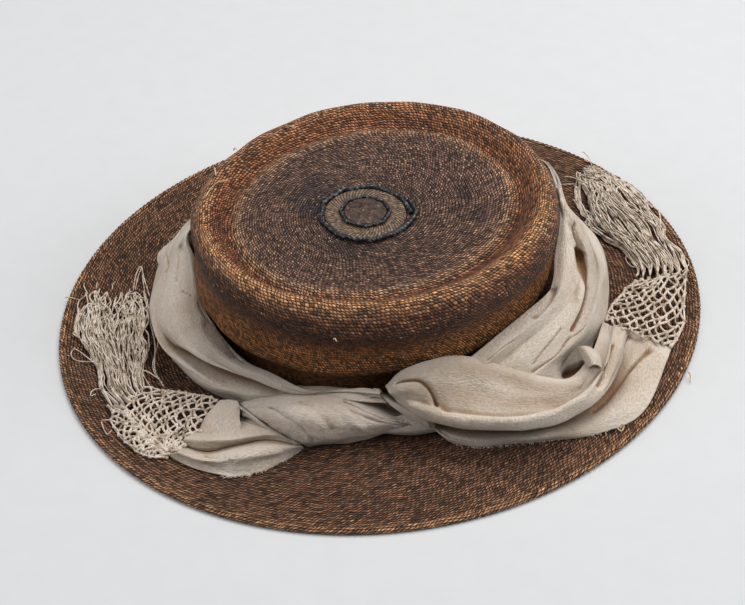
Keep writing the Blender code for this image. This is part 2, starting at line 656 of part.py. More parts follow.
clear_scene()
make_crown()
make_brim()
make_patch()
make_band()
make_twist()
make_tail("scarf_tail_right", TAIL_RIGHT_ROWS, TAIL_RIGHT_COLUMNS, TAIL_RIGHT_COUNT)
make_tail("scarf_tail_left", TAIL_LEFT_ROWS, TAIL_LEFT_COLUMNS, TAIL_LEFT_COUNT)
for net_name, net_values in NETS.items():
    make_net(net_name, net_values)
for fringe_name, fringe_values in FRINGES.items():
    make_fringe(fringe_name, fringe_values)
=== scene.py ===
# %% [markdown]
# # A straw hat with a knotted scarf, nets and fringes
# The object is a plaited straw hat of the kind sewn from split palm leaf. A low round crown has a
# worn rim and a sunken top with a round patch. A crepe cotton scarf is wound round the crown and
# knotted, and each end of it runs out into a knotted net and a long fringe. The hat lies on a table.
#
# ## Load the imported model
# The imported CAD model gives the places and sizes. Everything below is in metres, in that frame:
# the origin is under the middle of the brim and +Z is up. A *bearing* is an angle in degrees from
# +X towards +Y, and a *reach* is a distance from the Z axis.

# %% Load the frame
import json
import math

import bpy
import numpy as np
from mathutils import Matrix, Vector, noise

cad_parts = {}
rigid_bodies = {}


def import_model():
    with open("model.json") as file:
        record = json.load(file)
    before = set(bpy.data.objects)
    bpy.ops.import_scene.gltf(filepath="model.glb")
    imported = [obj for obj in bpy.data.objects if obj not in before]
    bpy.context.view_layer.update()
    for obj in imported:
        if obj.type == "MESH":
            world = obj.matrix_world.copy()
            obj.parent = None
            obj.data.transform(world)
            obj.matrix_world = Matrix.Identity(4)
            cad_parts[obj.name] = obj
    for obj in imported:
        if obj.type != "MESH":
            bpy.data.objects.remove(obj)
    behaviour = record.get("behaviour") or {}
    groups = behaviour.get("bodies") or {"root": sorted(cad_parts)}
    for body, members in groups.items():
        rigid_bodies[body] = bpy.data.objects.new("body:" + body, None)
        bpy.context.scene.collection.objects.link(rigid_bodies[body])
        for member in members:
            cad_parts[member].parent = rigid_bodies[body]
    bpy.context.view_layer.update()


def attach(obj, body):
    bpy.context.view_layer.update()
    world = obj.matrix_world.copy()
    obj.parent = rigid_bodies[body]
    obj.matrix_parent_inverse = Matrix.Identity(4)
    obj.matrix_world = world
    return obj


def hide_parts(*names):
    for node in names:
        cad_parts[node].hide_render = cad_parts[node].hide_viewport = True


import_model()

# %% [markdown]
# ## Colours and nodes
# Colours are written as sRGB hex values, the way a colour picker shows them. Shaders work in linear
# light, so one function turns them. One more function adds any shader node, sets it and links it, with
# the help of a small one that fills a node's inputs.

# %% Colours and one helper for nodes
def linear(hex_colour):
    """Turns an sRGB hex colour into the linear RGBA that a shader uses."""
    parts = [int(hex_colour[i:i + 2], 16) / 255 for i in (1, 3, 5)]
    return tuple(c / 12.92 if c <= 0.04045 else ((c + 0.055) / 1.055) ** 2.4 for c in parts) + (1.0,)


def fill(made, inputs):
    """Links or sets a node's inputs. A hex colour is turned linear first."""
    for name, value in inputs.items():
        if isinstance(value, bpy.types.Node):
            value = value.outputs[2 if value.bl_idname == "ShaderNodeMix" else 0]
        if isinstance(value, bpy.types.NodeSocket):
            made.id_data.links.new(value, made.inputs[name])
        else:
            made.inputs[name].default_value = linear(value) if isinstance(value, str) else value


def node(tree, kind, inputs=None, stops=None, **settings):
    """Adds a node with its settings, links or fills its inputs, and returns it."""
    made = tree.nodes.new("ShaderNode" + kind)
    for name, value in settings.items():
        setattr(made, name, value)
    fill(made, inputs or {})
    if stops:
        elements = made.color_ramp.elements
        while len(elements) < len(stops):
            elements.new(0.5)
        for element, (at, colour) in zip(elements, stops):
            element.position = at
            element.color = linear(colour) if isinstance(colour, str) else (colour,) * 3 + (1.0,)
    return made


# What a Mix node of colours is set to: one laid over another, or one multiplied by another.
OVER = {"data_type": "RGBA"}
TIMES = {"data_type": "RGBA", "blend_type": "MULTIPLY"}


def new_material(name, roughness, specular=0.5):
    """A material with an empty tree but for its shader and output."""
    made = bpy.data.materials.new(name)
    made.use_nodes = True
    shader = made.node_tree.nodes["Principled BSDF"]
    fill(shader, {"Roughness": roughness, "Specular IOR Level": specular})
    return made, made.node_tree, shader


# %% [markdown]
# ## Curves, sheets and threads in mesh code
# Almost all of this hat is cloth, plait or thread, so it helps to have three small makers. One draws
# a smooth curve through a few named points. One lays a sheet through several such curves, side by
# side, the way a fold runs along a scarf. One turns many paths into thin round threads.

# %% Places round the hat and smooth curves
def place(bearing, reach, height):
    """The point, or points, at a bearing in degrees, a reach and a height in metres."""
    angle = np.radians(bearing)
    return np.stack(np.broadcast_arrays(reach * np.cos(angle), reach * np.sin(angle), height), axis=-1)


def through(points, count):
    """A smooth curve through the points, sampled at equal steps of their order."""
    points = np.asarray(points, float)
    slope = np.gradient(points, axis=0)
    at = np.linspace(0, len(points) - 1, count)
    left = np.minimum(at.astype(int), len(points) - 2)
    t = (at - left).reshape((-1,) + (1,) * (points.ndim - 1))
    start, end, turn_a, turn_b = points[left], points[left + 1], slope[left], slope[left + 1]
    return (
        (2 * t**3 - 3 * t**2 + 1) * start + (t**3 - 2 * t**2 + t) * turn_a
        + (3 * t**2 - 2 * t**3) * end + (t**3 - t**2) * turn_b
    )


def line(rows, count):
    """A curve from rows of bearing in degrees, reach in mm and height in mm."""
    rows = np.array(rows, float)
    return through(place(rows[:, 0], rows[:, 1] / 1000, rows[:, 2] / 1000), count)


def run_along(steps):
    """How far along each point lies, from the lengths of the steps between them."""
    return np.concatenate([[0.0], np.cumsum(steps)])


def turns(count):
    """Angles in radians, spread evenly over one full turn."""
    return np.arange(count) * 2 * math.pi / count


# %% Meshes from arrays
def add_mesh(name, points, quads, uvs=None, material=None, smooth=True):
    """A mesh object from arrays. uvs holds maps by name, with one pair for each corner."""
    mesh = bpy.data.meshes.new(name)
    quads = np.asarray(quads, np.int32)
    mesh.vertices.add(len(points))
    mesh.vertices.foreach_set("co", np.asarray(points, np.float32).ravel())
    mesh.loops.add(quads.size)
    mesh.loops.foreach_set("vertex_index", quads.ravel())
    mesh.polygons.add(len(quads))
    mesh.polygons.foreach_set("loop_start", np.arange(len(quads), dtype=np.int32) * quads.shape[1])
    mesh.update(calc_edges=True)
    mesh.polygons.foreach_set("use_smooth", np.full(len(quads), smooth))
    for map_name, pairs in (uvs or {}).items():
        mesh.uv_layers.new(name=map_name).data.foreach_set("uv", np.asarray(pairs, np.float32).ravel())
    mesh.validate()
    made = bpy.data.objects.new(name, mesh)
    bpy.context.scene.collection.objects.link(made)
    if material:
        mesh.materials.append(material)
    return made


def grid_quads(rows, columns, wrap=False):
    """Quads of a grid of points, row after row. wrap joins the last column to the first."""
    i, j = np.meshgrid(np.arange(rows - 1), np.arange(columns if wrap else columns - 1), indexing="ij")
    k = (j + 1) % columns
    here, above = i * columns, (i + 1) * columns
    return np.stack([here + j, here + k, above + k, above + j], -1).reshape(-1, 4)


def grid_normals(grid):
    """Unit normals of a grid of points [row, column, xyz]."""
    across, along = np.gradient(grid, axis=0), np.gradient(grid, axis=1)
    normal = np.cross(along, across)
    return normal / np.maximum(np.linalg.norm(normal, axis=-1, keepdims=True), 1e-12)


def triangles(made):
    made.data.calc_loop_triangles()
    return len(made.data.loop_triangles)


# %% Threads from paths
def round_ring(side, top, angle):
    """Circles across a path, one for each of its points."""
    return side[:, None] * np.cos(angle)[None, :, None] + top[:, None] * np.sin(angle)[None, :, None]


def threads(name, paths, radius, material, sides=5):
    """Round threads along paths, as one mesh. Each path is an array of points, and radius may vary."""
    points, quads, base = [], [], 0
    angle = turns(sides)
    for number, path in enumerate(paths):
        size = radius[number] if np.ndim(radius) else radius
        along = np.gradient(path, axis=0)
        along /= np.maximum(np.linalg.norm(along, axis=1, keepdims=True), 1e-9)
        side = np.cross(along, (0.0, 0.0, 1.0))
        flat = np.linalg.norm(side, axis=1, keepdims=True)
        side = np.where(flat > 1e-3, side / np.maximum(flat, 1e-9), (1.0, 0.0, 0.0))
        top = np.cross(side, along)
        taper = np.ones(len(path))
        taper[0] = taper[-1] = 0.4
        ring = round_ring(side, top, angle)
        points.append((path[:, None] + ring * (size * taper)[:, None, None]).reshape(-1, 3))
        quads.append(grid_quads(len(path), sides, wrap=True) + base)
        base += len(path) * sides
    return add_mesh(name, np.concatenate(points), np.concatenate(quads), material=material)


def joined(name, pieces):
    """Joins mesh objects into one and names it."""
    first = pieces[0]
    with bpy.context.temp_override(
        active_object=first, object=first, selected_editable_objects=pieces, selected_objects=pieces
    ):
        bpy.ops.object.join()
    first.name = name
    first.data.name = name
    return first


# %% [markdown]
# ## Plaited straw
# The real hat is plaited from strips of split palm leaf about 2 mm wide, boiled and bleached, and
# years of sun, dust and handling have turned it brown. Each row of the plait runs round the hat, and
# in each row short strips slant over one another. A shader can draw that well, because the strips
# are only three or four pixels wide here. It needs two numbers on each point: how far round the hat
# it is, and how far along the side from the foot to the middle of the top.

# %% Straw material
STRIP_PITCH = 0.0027   # from strip to strip along a row, before the crown and the brim make it finer
ROW_WIDE = 0.0017      # from one row of the plait to the next on the crown
WIDEST = 0.40          # the curve below runs from 0 to 1, so its values are parts of this radius


def straw(name, along_length, radii, looks, row_wide=ROW_WIDE, lean=0.7, relief=0.0011):
    """Plaited palm leaf. radii gives the mean radius along the plait, and looks gives the colour."""
    made, tree, shader = new_material(name, roughness=0.62, specular=0.35)
    plait = node(tree, "SeparateXYZ", {0: node(tree, "UVMap", uv_map="plait").outputs[0]})
    where = node(tree, "TexCoord").outputs["Object"]
    # Rows made by hand wander by about a row, and each strip is a little crooked.
    sway = node(tree, "TexNoise", {"Vector": where, "Scale": 55.0, "Detail": 3.0, "Roughness": 0.55})
    swayed = node(tree, "Math", {0: sway, 1: 2.4 * row_wide, 2: plait.outputs["Y"]}, operation="MULTIPLY_ADD")
    rows = node(tree, "Math", {0: swayed, 1: row_wide}, operation="DIVIDE")
    row = node(tree, "Math", {0: rows}, operation="FLOOR")
    in_row = node(tree, "Math", {0: rows}, operation="FRACT")
    middle = node(tree, "Math", {0: row, 1: 0.5}, operation="ADD")
    share = node(tree, "Math", {0: middle, 1: row_wide / along_length}, operation="MULTIPLY")
    curve = node(tree, "FloatCurve", {1: share})
    profile = curve.mapping.curves[0]
    profile.points[0].location = (0.0, radii[0] / WIDEST)
    profile.points[1].location = (1.0, radii[-1] / WIDEST)
    for at, radius in zip(np.linspace(0, 1, len(radii))[1:-1], radii[1:-1]):
        profile.points.new(at, radius / WIDEST)
    curve.mapping.update()
    around = node(tree, "Math", {0: curve, 1: WIDEST * 2 * math.pi / STRIP_PITCH}, operation="MULTIPLY")
    count = node(tree, "Math", {0: around}, operation="ROUND")
    straight = node(tree, "Math", {0: plait.outputs["X"], 1: count}, operation="MULTIPLY")
    turned = node(tree, "Math", {0: sway, 1: 2.6, 2: straight}, operation="MULTIPLY_ADD")
    # Every strip slants the same way and each row starts over a third of a strip on, as in a twill.
    slant = node(tree, "Math", {0: in_row, 1: lean, 2: turned}, operation="MULTIPLY_ADD")
    shifted = node(tree, "Math", {0: row, 1: -0.37, 2: slant}, operation="MULTIPLY_ADD")
    strip = node(tree, "Math", {0: shifted}, operation="FLOOR")
    in_strip = node(tree, "Math", {0: shifted}, operation="FRACT")
    cell = node(tree, "CombineXYZ", {0: strip, 1: row})
    chance = node(tree, "TexWhiteNoise", {0: cell}, noise_dimensions="3D")
    # Each strip is highest in its middle and dips under its neighbours at both ends.
    bulges = []
    for part in (in_row, in_strip):
        off = node(tree, "Math", {0: part, 1: 2.0, 2: -1.0}, operation="MULTIPLY_ADD")
        away = node(tree, "Math", {0: off}, operation="ABSOLUTE")
        fall = node(tree, "Math", {0: away, 1: 3.0}, operation="POWER")
        bulges.append(node(tree, "Math", {0: 1.0, 1: fall}, operation="SUBTRACT"))
    height = node(tree, "Math", {0: bulges[0], 1: bulges[1]}, operation="MULTIPLY")
    # Split leaf has fibres about 0.3 mm apart, too fine to see here, so they are drawn at 1 mm.
    fibre = node(tree, "TexNoise", {"Vector": where, "Scale": 1000.0, "Detail": 2.0, "Roughness": 0.7})
    uneven = node(tree, "Math", {0: chance, 1: 0.5, 2: height}, operation="MULTIPLY_ADD")
    bump = node(tree, "Bump", {"Strength": 1.0, "Distance": relief, "Height": uneven})
    colour = looks(tree, height, node(tree, "SeparateColor", {0: chance.outputs["Color"]}))
    fibrous = node(tree, "MapRange", {0: fibre, 1: 0.30, 2: 0.70, 3: 0.50, 4: 1.55})
    colour = node(tree, "Mix", {0: 1.0, 6: colour, 7: fibrous}, **TIMES)
    fill(shader, {"Base Color": colour, "Normal": bump})
    return made


# %% [markdown]
# ## The crown
# The crown is a low drum. Its wall pinches in above the brim, swells out to a soft bulge, turns over
# a worn crest and drops into a shallow valley round a flat top. The CAD solid has 43 flat sides, so
# a finer skin is laid on the same rings here and the wall's thickness is added after.

# %% Rings of the crown
CROWN_RINGS = (
    # half length, half width, height, shift along X, shift along Y, all in metres
    ("foot", 0.0983, 0.0878, 0.0028, 0.000, -0.004),
    ("neck", 0.0983, 0.0878, 0.0180, 0.000, -0.004),
    ("turn_under", 0.1020, 0.0915, 0.0290, -0.001, -0.006),
    ("wall_low", 0.1065, 0.0958, 0.0370, -0.001, -0.007),
    ("wall_high", 0.1068, 0.0960, 0.0500, -0.001, -0.007),
    ("under_bulge", 0.1095, 0.0985, 0.0600, -0.001, -0.007),
    ("bulge", 0.1145, 0.1035, 0.0710, -0.001, -0.007),
    ("shoulder", 0.1135, 0.1020, 0.0815, -0.001, -0.007),
    ("crest", 0.1076, 0.0965, 0.0880, -0.001, -0.007),
    ("inner_slope", 0.1000, 0.0890, 0.0845, -0.001, -0.007),
    ("valley", 0.0935, 0.0815, 0.0787, -0.001, -0.007),
    ("dish_edge", 0.0875, 0.0755, 0.0803, -0.001, -0.007),
    ("plateau", 0.0800, 0.0690, 0.0800, -0.001, -0.008),
    ("patch_ground", 0.0400, 0.0360, 0.0800, 0.000, -0.014),
    ("middle", 0.0004, 0.0004, 0.0800, 0.000, -0.0165),
)
RING_NAMES = [ring[0] for ring in CROWN_RINGS]
# How the crown changes round the hat, in mm: bulge out, bulge up, crest up, wall out, neck out.
RIM_CHANGES = {
    0: (1.0, -2.0, 0.0, 4.0, 3.0), 45: (3.0, -4.0, 1.0, 8.5, 7.0), 90: (1.0, 0.0, 0.5, 4.0, 3.0),
    135: (0.0, 2.0, 0.0, 1.0, 0.5), 180: (0.0, 4.0, -1.0, 3.0, 3.0), 225: (0.5, 7.5, -0.5, 6.8, 9.0),
    270: (0.5, 2.0, 0.5, 3.5, 3.0), 315: (1.0, -3.0, 0.0, 0.5, 0.0),
}
# How much of each change a ring takes up.
RING_TAKES = {
    "neck": (0, 0, 0, 0, 1), "turn_under": (0, 0, 0, 0.5, 0.5), "wall_low": (0, 0, 0, 1, 0),
    "wall_high": (0, 0, 0, 1, 0), "under_bulge": (0.4, 0.5, 0, 0.5, 0), "bulge": (1, 1, 0, 0, 0),
    "shoulder": (0.6, 0.25, 0.7, 0, 0), "crest": (0, 0, 1, 0, 0), "inner_slope": (0, 0, 0.5, 0, 0),
}


def changes_at(bearings):
    """The five changes at these bearings, eased between the rows of the table, in metres."""
    knots = np.array(list(RIM_CHANGES), float)
    values = np.array(list(RIM_CHANGES.values()), float) / 1000
    values = np.vstack([values, values, values])
    knots = np.concatenate([knots - 360, knots, knots + 360])
    at = np.asarray(bearings, float) % 360
    left = np.clip(np.searchsorted(knots, at, side="right") - 1, 0, len(knots) - 2)
    t = ((at - knots[left]) / (knots[left + 1] - knots[left]))[:, None]
    ease = t * t * (3 - 2 * t)
    return values[left] * (1 - ease) + values[left + 1] * ease


def crown_ring(ring, bearings):
    name, half_long, half_cross, height, shift_x, shift_y = ring
    angle = np.radians(bearings)
    change = changes_at(bearings) * np.array(RING_TAKES.get(name, (0,) * 5))
    out = change[:, 0] + change[:, 3] + change[:, 4]
    return np.stack([
        shift_x + (half_cross + out) * np.cos(angle),
        shift_y + (half_long + out) * np.sin(angle),
        height + change[:, 1] + change[:, 2],
    ], axis=-1)


# %% Crown skin
CROWN_AROUND = 240
CROWN_UP = 140
STRAW_WALL = 0.0022
FIRM_ROWS = 12         # rows by the foot where the dents fade out
bearings = np.arange(CROWN_AROUND) * 360 / CROWN_AROUND
rings = np.array([crown_ring(ring, bearings) for ring in CROWN_RINGS])
crown_grid = through(rings, CROWN_UP)
crown_run = run_along(np.linalg.norm(np.diff(crown_grid, axis=0), axis=2).mean(axis=1))
crown_flat = crown_grid[:, :, :2]
crown_radii = np.linalg.norm(crown_flat - crown_flat.mean(axis=1, keepdims=True), axis=2).mean(axis=1)
crown_zone = np.linspace(0, 1, CROWN_UP)


def ring_uvs(quads, columns, x_of, y_of):
    """UV pairs for a grid that closes on itself, so that the last column ends at one full turn."""
    row, col = quads // columns, quads % columns
    wraps = (col == 0) & (col.max(axis=1, keepdims=True) == columns - 1)
    turn = (col + wraps * columns) / columns
    return np.stack([x_of(row, turn), y_of(row, turn)], axis=-1).reshape(-1, 2)


def soft_dents(grid, normals, strength, size, seed):
    """Moves a skin a little along its normals with smooth noise, as straw that has been pressed."""
    for i in range(grid.shape[0]):
        for j in range(grid.shape[1]):
            spot = Vector(grid[i, j] / size + seed)
            grid[i, j] += normals[i, j] * (strength * noise.noise(spot))
    return grid


crown_normals = grid_normals(np.concatenate([crown_grid, crown_grid[:, :1]], axis=1))[:, :CROWN_AROUND]
fade = np.clip(np.minimum(np.arange(CROWN_UP) / FIRM_ROWS, 1), 0, 1)[:, None, None]
dented = soft_dents(crown_grid.copy(), crown_normals, 0.0014, 0.030, 3.0)
crown_grid = crown_grid * (1 - fade) + dented * fade
crown_quads = grid_quads(CROWN_UP, CROWN_AROUND, wrap=True)
crown = add_mesh("crown_plait", crown_grid.reshape(-1, 3), crown_quads, {
    "plait": ring_uvs(crown_quads, CROWN_AROUND, lambda r, t: t, lambda r, t: crown_run[r]),
    "zone": ring_uvs(crown_quads, CROWN_AROUND, lambda r, t: crown_zone[r], lambda r, t: t),
})
wall = crown.modifiers.new("wall", "SOLIDIFY")
wall.thickness = STRAW_WALL
wall.offset = -1.0
crown_mm = round(crown_run[-1] * 1000)
print("crown:", triangles(crown), "triangles before its wall,", crown_mm, "mm from foot to middle")

# %% [markdown]
# ## Colour of the crown
# The wall under the bulge kept its ginger colour, because the scarf and the bulge shaded it. The
# bulge itself is almost black with dirt, the crest is rubbed back to pale straw, and the flat top
# has gone grey-brown. The same ring is not equally worn all round, so two colour ramps are mixed
# by bearing: one for the side of the knot and one for the side away from it.

# %% Crown straw
def zone_stops(**colours):
    """Ramp stops from ring names."""
    last = len(RING_NAMES) - 1
    return [(RING_NAMES.index(name) / last, colour) for name, colour in colours.items()]


# The foot and neck rings are painted dark: painted shade in the crevice where the crown turns in under the
# scarf and the bulge.
NEAR_STOPS = zone_stops(
    foot="#4c2f19", neck="#704724", turn_under="#85562b", wall_low="#8a5a2d", wall_high="#885830",
    under_bulge="#6c4226", bulge="#42281a", shoulder="#6e442a", crest="#a5774f", inner_slope="#704530",
    valley="#6d4128", dish_edge="#8c6b52", plateau="#664c40", middle="#59443b",
)
FAR_STOPS = zone_stops(
    foot="#4c2f19", neck="#704724", turn_under="#85562b", wall_low="#85562b", wall_high="#83552e",
    under_bulge="#6c4328", bulge="#5a3824", shoulder="#835637", crest="#8e644a", inner_slope="#875839",
    valley="#7e5036", dish_edge="#8f6e56", plateau="#654c41", middle="#59443b",
)

# Stains on the flat top: centre, reach and soft edge in metres, strength.
STAINS = (
    ((-0.0345, -0.0235, 0.080), 0.011, 0.008, 0.55), ((-0.0470, -0.0120, 0.080), 0.006, 0.006, 0.50),
    ((-0.0260, -0.0350, 0.080), 0.006, 0.006, 0.55), ((0.0260, 0.0420, 0.080), 0.004, 0.005, 0.45),
    ((0.0480, 0.0330, 0.080), 0.004, 0.005, 0.45), ((0.0120, -0.0420, 0.080), 0.010, 0.012, 0.35),
)


def crown_looks(tree, height, chances):
    zone = node(tree, "SeparateXYZ", {0: node(tree, "UVMap", uv_map="zone").outputs[0]})
    where = node(tree, "TexCoord").outputs["Object"]
    blotch = node(tree, "TexNoise", {"Vector": where, "Scale": 38.0, "Detail": 4.0, "Roughness": 0.65})
    wobble = node(tree, "Math", {0: blotch, 1: 0.5}, operation="SUBTRACT")
    moved = node(tree, "Math", {0: wobble, 1: 0.06, 2: zone.outputs["X"]}, operation="MULTIPLY_ADD")
    jitter = node(tree, "Math", {0: chances.outputs[0], 1: 0.5}, operation="SUBTRACT")
    ragged = node(tree, "Math", {0: jitter, 1: 0.03, 2: moved}, operation="MULTIPLY_ADD")
    near = node(tree, "ValToRGB", {0: ragged}, stops=NEAR_STOPS)
    far = node(tree, "ValToRGB", {0: ragged}, stops=FAR_STOPS)
    off = node(tree, "Math", {0: zone.outputs["Y"], 1: 315 / 360}, operation="SUBTRACT")
    turn = node(tree, "Math", {0: off, 1: 2 * math.pi}, operation="MULTIPLY")
    facing = node(tree, "Math", {0: turn}, operation="COSINE")
    ends = {0: facing, 1: 0.35, 2: -0.45, 3: 0.0, 4: 1.0}
    facing_far = node(tree, "MapRange", ends, interpolation_type="SMOOTHSTEP")
    base = node(tree, "Mix", {0: facing_far, 6: near, 7: far}, **OVER)
    blotched = node(tree, "MapRange", {0: blotch, 1: 0.3, 2: 0.7, 3: 0.78, 4: 1.22})
    toned = node(tree, "Mix", {0: 1.0, 6: base, 7: blotched}, **TIMES)
    # A blue-black stain lies on the flat top beside the patch, darkest along its outer edge.
    for centre, reach, soft, strength in STAINS:
        apart = node(tree, "VectorMath", {0: where, 1: centre}, operation="DISTANCE").outputs["Value"]
        ragged_edge = node(tree, "Math", {0: wobble, 1: 0.022, 2: apart}, operation="MULTIPLY_ADD")
        inside = node(tree, "MapRange", {0: ragged_edge, 1: reach + soft, 2: reach, 3: 0.0, 4: strength})
        toned = node(tree, "Mix", {0: inside, 6: toned, 7: "#2f2a30"}, **OVER)
    strips = node(tree, "MapRange", {0: chances.outputs[1], 1: 0.0, 2: 1.0, 3: 0.28, 4: 1.75})
    struck = node(tree, "Mix", {0: 1.0, 6: toned, 7: strips}, **TIMES)
    # Rubbed rings show more pale strips than the rest.
    rubbed = node(tree, "ValToRGB", {0: zone.outputs["X"]}, stops=zone_stops(
        foot=0.0, wall_high=0.0, bulge=0.02, shoulder=0.08, crest=0.26, inner_slope=0.03, valley=0.02,
        dish_edge=0.20, plateau=0.06, patch_ground=0.05))
    sought = node(tree, "Math", {0: chances.outputs[2], 1: rubbed}, operation="LESS_THAN")
    tip = node(tree, "MapRange", {0: height, 1: 0.35, 2: 0.95, 3: 0.0, 4: 0.50})
    pale = node(tree, "Math", {0: sought, 1: tip}, operation="MULTIPLY")
    glint = node(tree, "Mix", {0: pale, 6: struck, 7: "#c09c78"}, **OVER)
    # Painted shade and light of the plait's relief: the dips where strips pass under one another are darkened
    # almost to black, and their tops are lightened.
    relief_shading = node(tree, "MapRange", {0: height, 1: 0.06, 2: 0.84, 3: 0.05, 4: 1.45})
    return node(tree, "Mix", {0: 1.0, 6: glint, 7: relief_shading}, **TIMES)


# The strips are a third finer on the wall and on the flat top than on the bulge between them.
radii = np.interp(np.linspace(0, crown_run[-1], 25), crown_run, crown_radii)
finer_at = np.array((0.0, 3.5, 5.0, 6.0, 8.5, 11.0, 14.0)) / 14
finer = np.interp(np.linspace(0, 1, 25), finer_at, (1.5, 1.5, 1.35, 1.15, 1.15, 1.45, 1.55))
crown_straw = straw("crown_palm_leaf_plait", crown_run[-1], radii * finer, crown_looks)
crown.data.materials.append(crown_straw)
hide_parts("crown")
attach(crown, "root")

# %% [markdown]
# ## The brim
# The brim is flat and plaited in rings of small rows, and its edge is finished with one thicker row,
# where the leaf strips turn back. That row stands up a little and its outline is notched, so it is
# modelled. The rings inside it are drawn by the same straw shader.

# %% Brim
BRIM_LONG = 0.2095
BRIM_CROSS = 0.1893
BRIM_AROUND = 1320
EDGE_NOTCHES = 330     # one notch for each strip that turns back, about 3.8 mm apart
BRIM_THICK = 0.0025
EDGE_WIDE = 0.0046      # how wide the thicker row along the edge is
angle = turns(BRIM_AROUND)
# Rings from under the hole, over the top, round the edge and back: share of the way out, inset, height.
hole_long, hole_cross, hole_shift = 0.0961, 0.0856, -0.004
profile = [(0.0, 0.0, 0.0), (0.0, 0.0, BRIM_THICK)]
profile += [(s, 0.0, BRIM_THICK) for s in np.linspace(0.04, 1.0, 14)]
profile += [(1.0, out, height) for out, height in (
    (-0.0008, 0.0031), (-0.0020, 0.0035), (-0.0034, 0.0034), (-0.0043, BRIM_THICK),
    (-EDGE_WIDE, 0.0014), (-0.0042, 0.0004), (-0.0034, 0.0),
)]
profile += [(s, 0.0, 0.0) for s in np.linspace(0.98, 0.0, 8)]
notch = np.sin(angle * EDGE_NOTCHES)
brim_points, brim_zone = [], []
for share, out, height in profile:
    long_half = hole_long + share * (BRIM_LONG - EDGE_WIDE - hole_long) - out
    cross_half = hole_cross + share * (BRIM_CROSS - EDGE_WIDE - hole_cross) - out
    shift = hole_shift * (1 - share)
    edge = 1.0 if out < -0.001 else 0.0
    rough = edge * (0.00025 * notch - 0.0002)
    x = (cross_half + rough) * np.cos(angle)
    y = shift + (long_half + rough) * np.sin(angle)
    z = np.full(BRIM_AROUND, height) + edge * (height > 0.001) * 0.0002 * notch
    brim_points.append(np.stack([x, y, z], axis=-1))
    brim_zone.append(share * 0.9 + (0.1 if edge else 0.0))
brim_grid = np.array(brim_points)
brim_run = run_along(np.linalg.norm(np.diff(brim_grid, axis=0), axis=2).mean(axis=1))
brim_radii = np.linalg.norm(brim_grid[:, :, :2], axis=2).mean(axis=1)
brim_zone = np.array(brim_zone)
brim_quads = grid_quads(len(profile), BRIM_AROUND, wrap=True)
brim = add_mesh("brim_plait", brim_grid.reshape(-1, 3), brim_quads, {
    "plait": ring_uvs(brim_quads, BRIM_AROUND, lambda r, t: t, lambda r, t: brim_run[r]),
    "zone": ring_uvs(brim_quads, BRIM_AROUND, lambda r, t: brim_zone[r], lambda r, t: t),
})
print("brim:", triangles(brim), "triangles,", EDGE_NOTCHES, "turned strips at the edge")


# %% Brim straw
def brim_looks(tree, height, chances):
    zone = node(tree, "SeparateXYZ", {0: node(tree, "UVMap", uv_map="zone").outputs[0]})
    where = node(tree, "TexCoord").outputs["Object"]
    blotch = node(tree, "TexNoise", {"Vector": where, "Scale": 22.0, "Detail": 4.0, "Roughness": 0.65})
    # The brim's colour runs from darker next to the crown to lighter on its thick edge row.
    base = node(tree, "ValToRGB", {0: zone.outputs["X"]}, stops=[
        (0.0, "#4a2f22"), (0.25, "#5c402f"), (0.7, "#644635"), (0.88, "#694a36"), (0.95, "#8a6549"),
    ])
    blotched = node(tree, "MapRange", {0: blotch, 1: 0.3, 2: 0.7, 3: 0.75, 4: 1.25})
    toned = node(tree, "Mix", {0: 1.0, 6: base, 7: blotched}, **TIMES)
    strips = node(tree, "MapRange", {0: chances.outputs[1], 1: 0.0, 2: 1.0, 3: 0.30, 4: 1.75})
    struck = node(tree, "Mix", {0: 1.0, 6: toned, 7: strips}, **TIMES)
    sought = node(tree, "MapRange", {0: chances.outputs[2], 1: 0.90, 2: 1.0, 3: 0.0, 4: 1.0})
    tip = node(tree, "MapRange", {0: height, 1: 0.45, 2: 0.95, 3: 0.0, 4: 0.45})
    pale = node(tree, "Math", {0: sought, 1: tip}, operation="MULTIPLY")
    glint = node(tree, "Mix", {0: pale, 6: struck, 7: "#b8946c"}, **OVER)
    # Painted shade and light of the plait's relief: the dips between strips are darkened almost to black, and
    # their tops are lightened.
    relief_shading = node(tree, "MapRange", {0: height, 1: 0.10, 2: 0.90, 3: 0.02, 4: 1.66})
    return node(tree, "Mix", {0: 1.0, 6: glint, 7: relief_shading}, **TIMES)


radii = np.interp(np.linspace(0, brim_run[-1], 21), brim_run, brim_radii) * 1.10
brim_straw = straw("brim_palm_leaf_plait", brim_run[-1], radii, brim_looks, row_wide=0.0019, lean=1.0)
brim.data.materials.append(brim_straw)
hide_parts("brim")
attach(brim, "root")

# %% [markdown]
# ## The round patch on the top
# A disc of coarse plait covers the start of the crown. A dark waxed cord is stitched round its edge
# and a second, eight-sided turn of cord holds a mottled leather-like centre.

# %% Patch
PATCH_X = 0.0005
PATCH_Y = -0.0165
PATCH_TOP = 0.0817


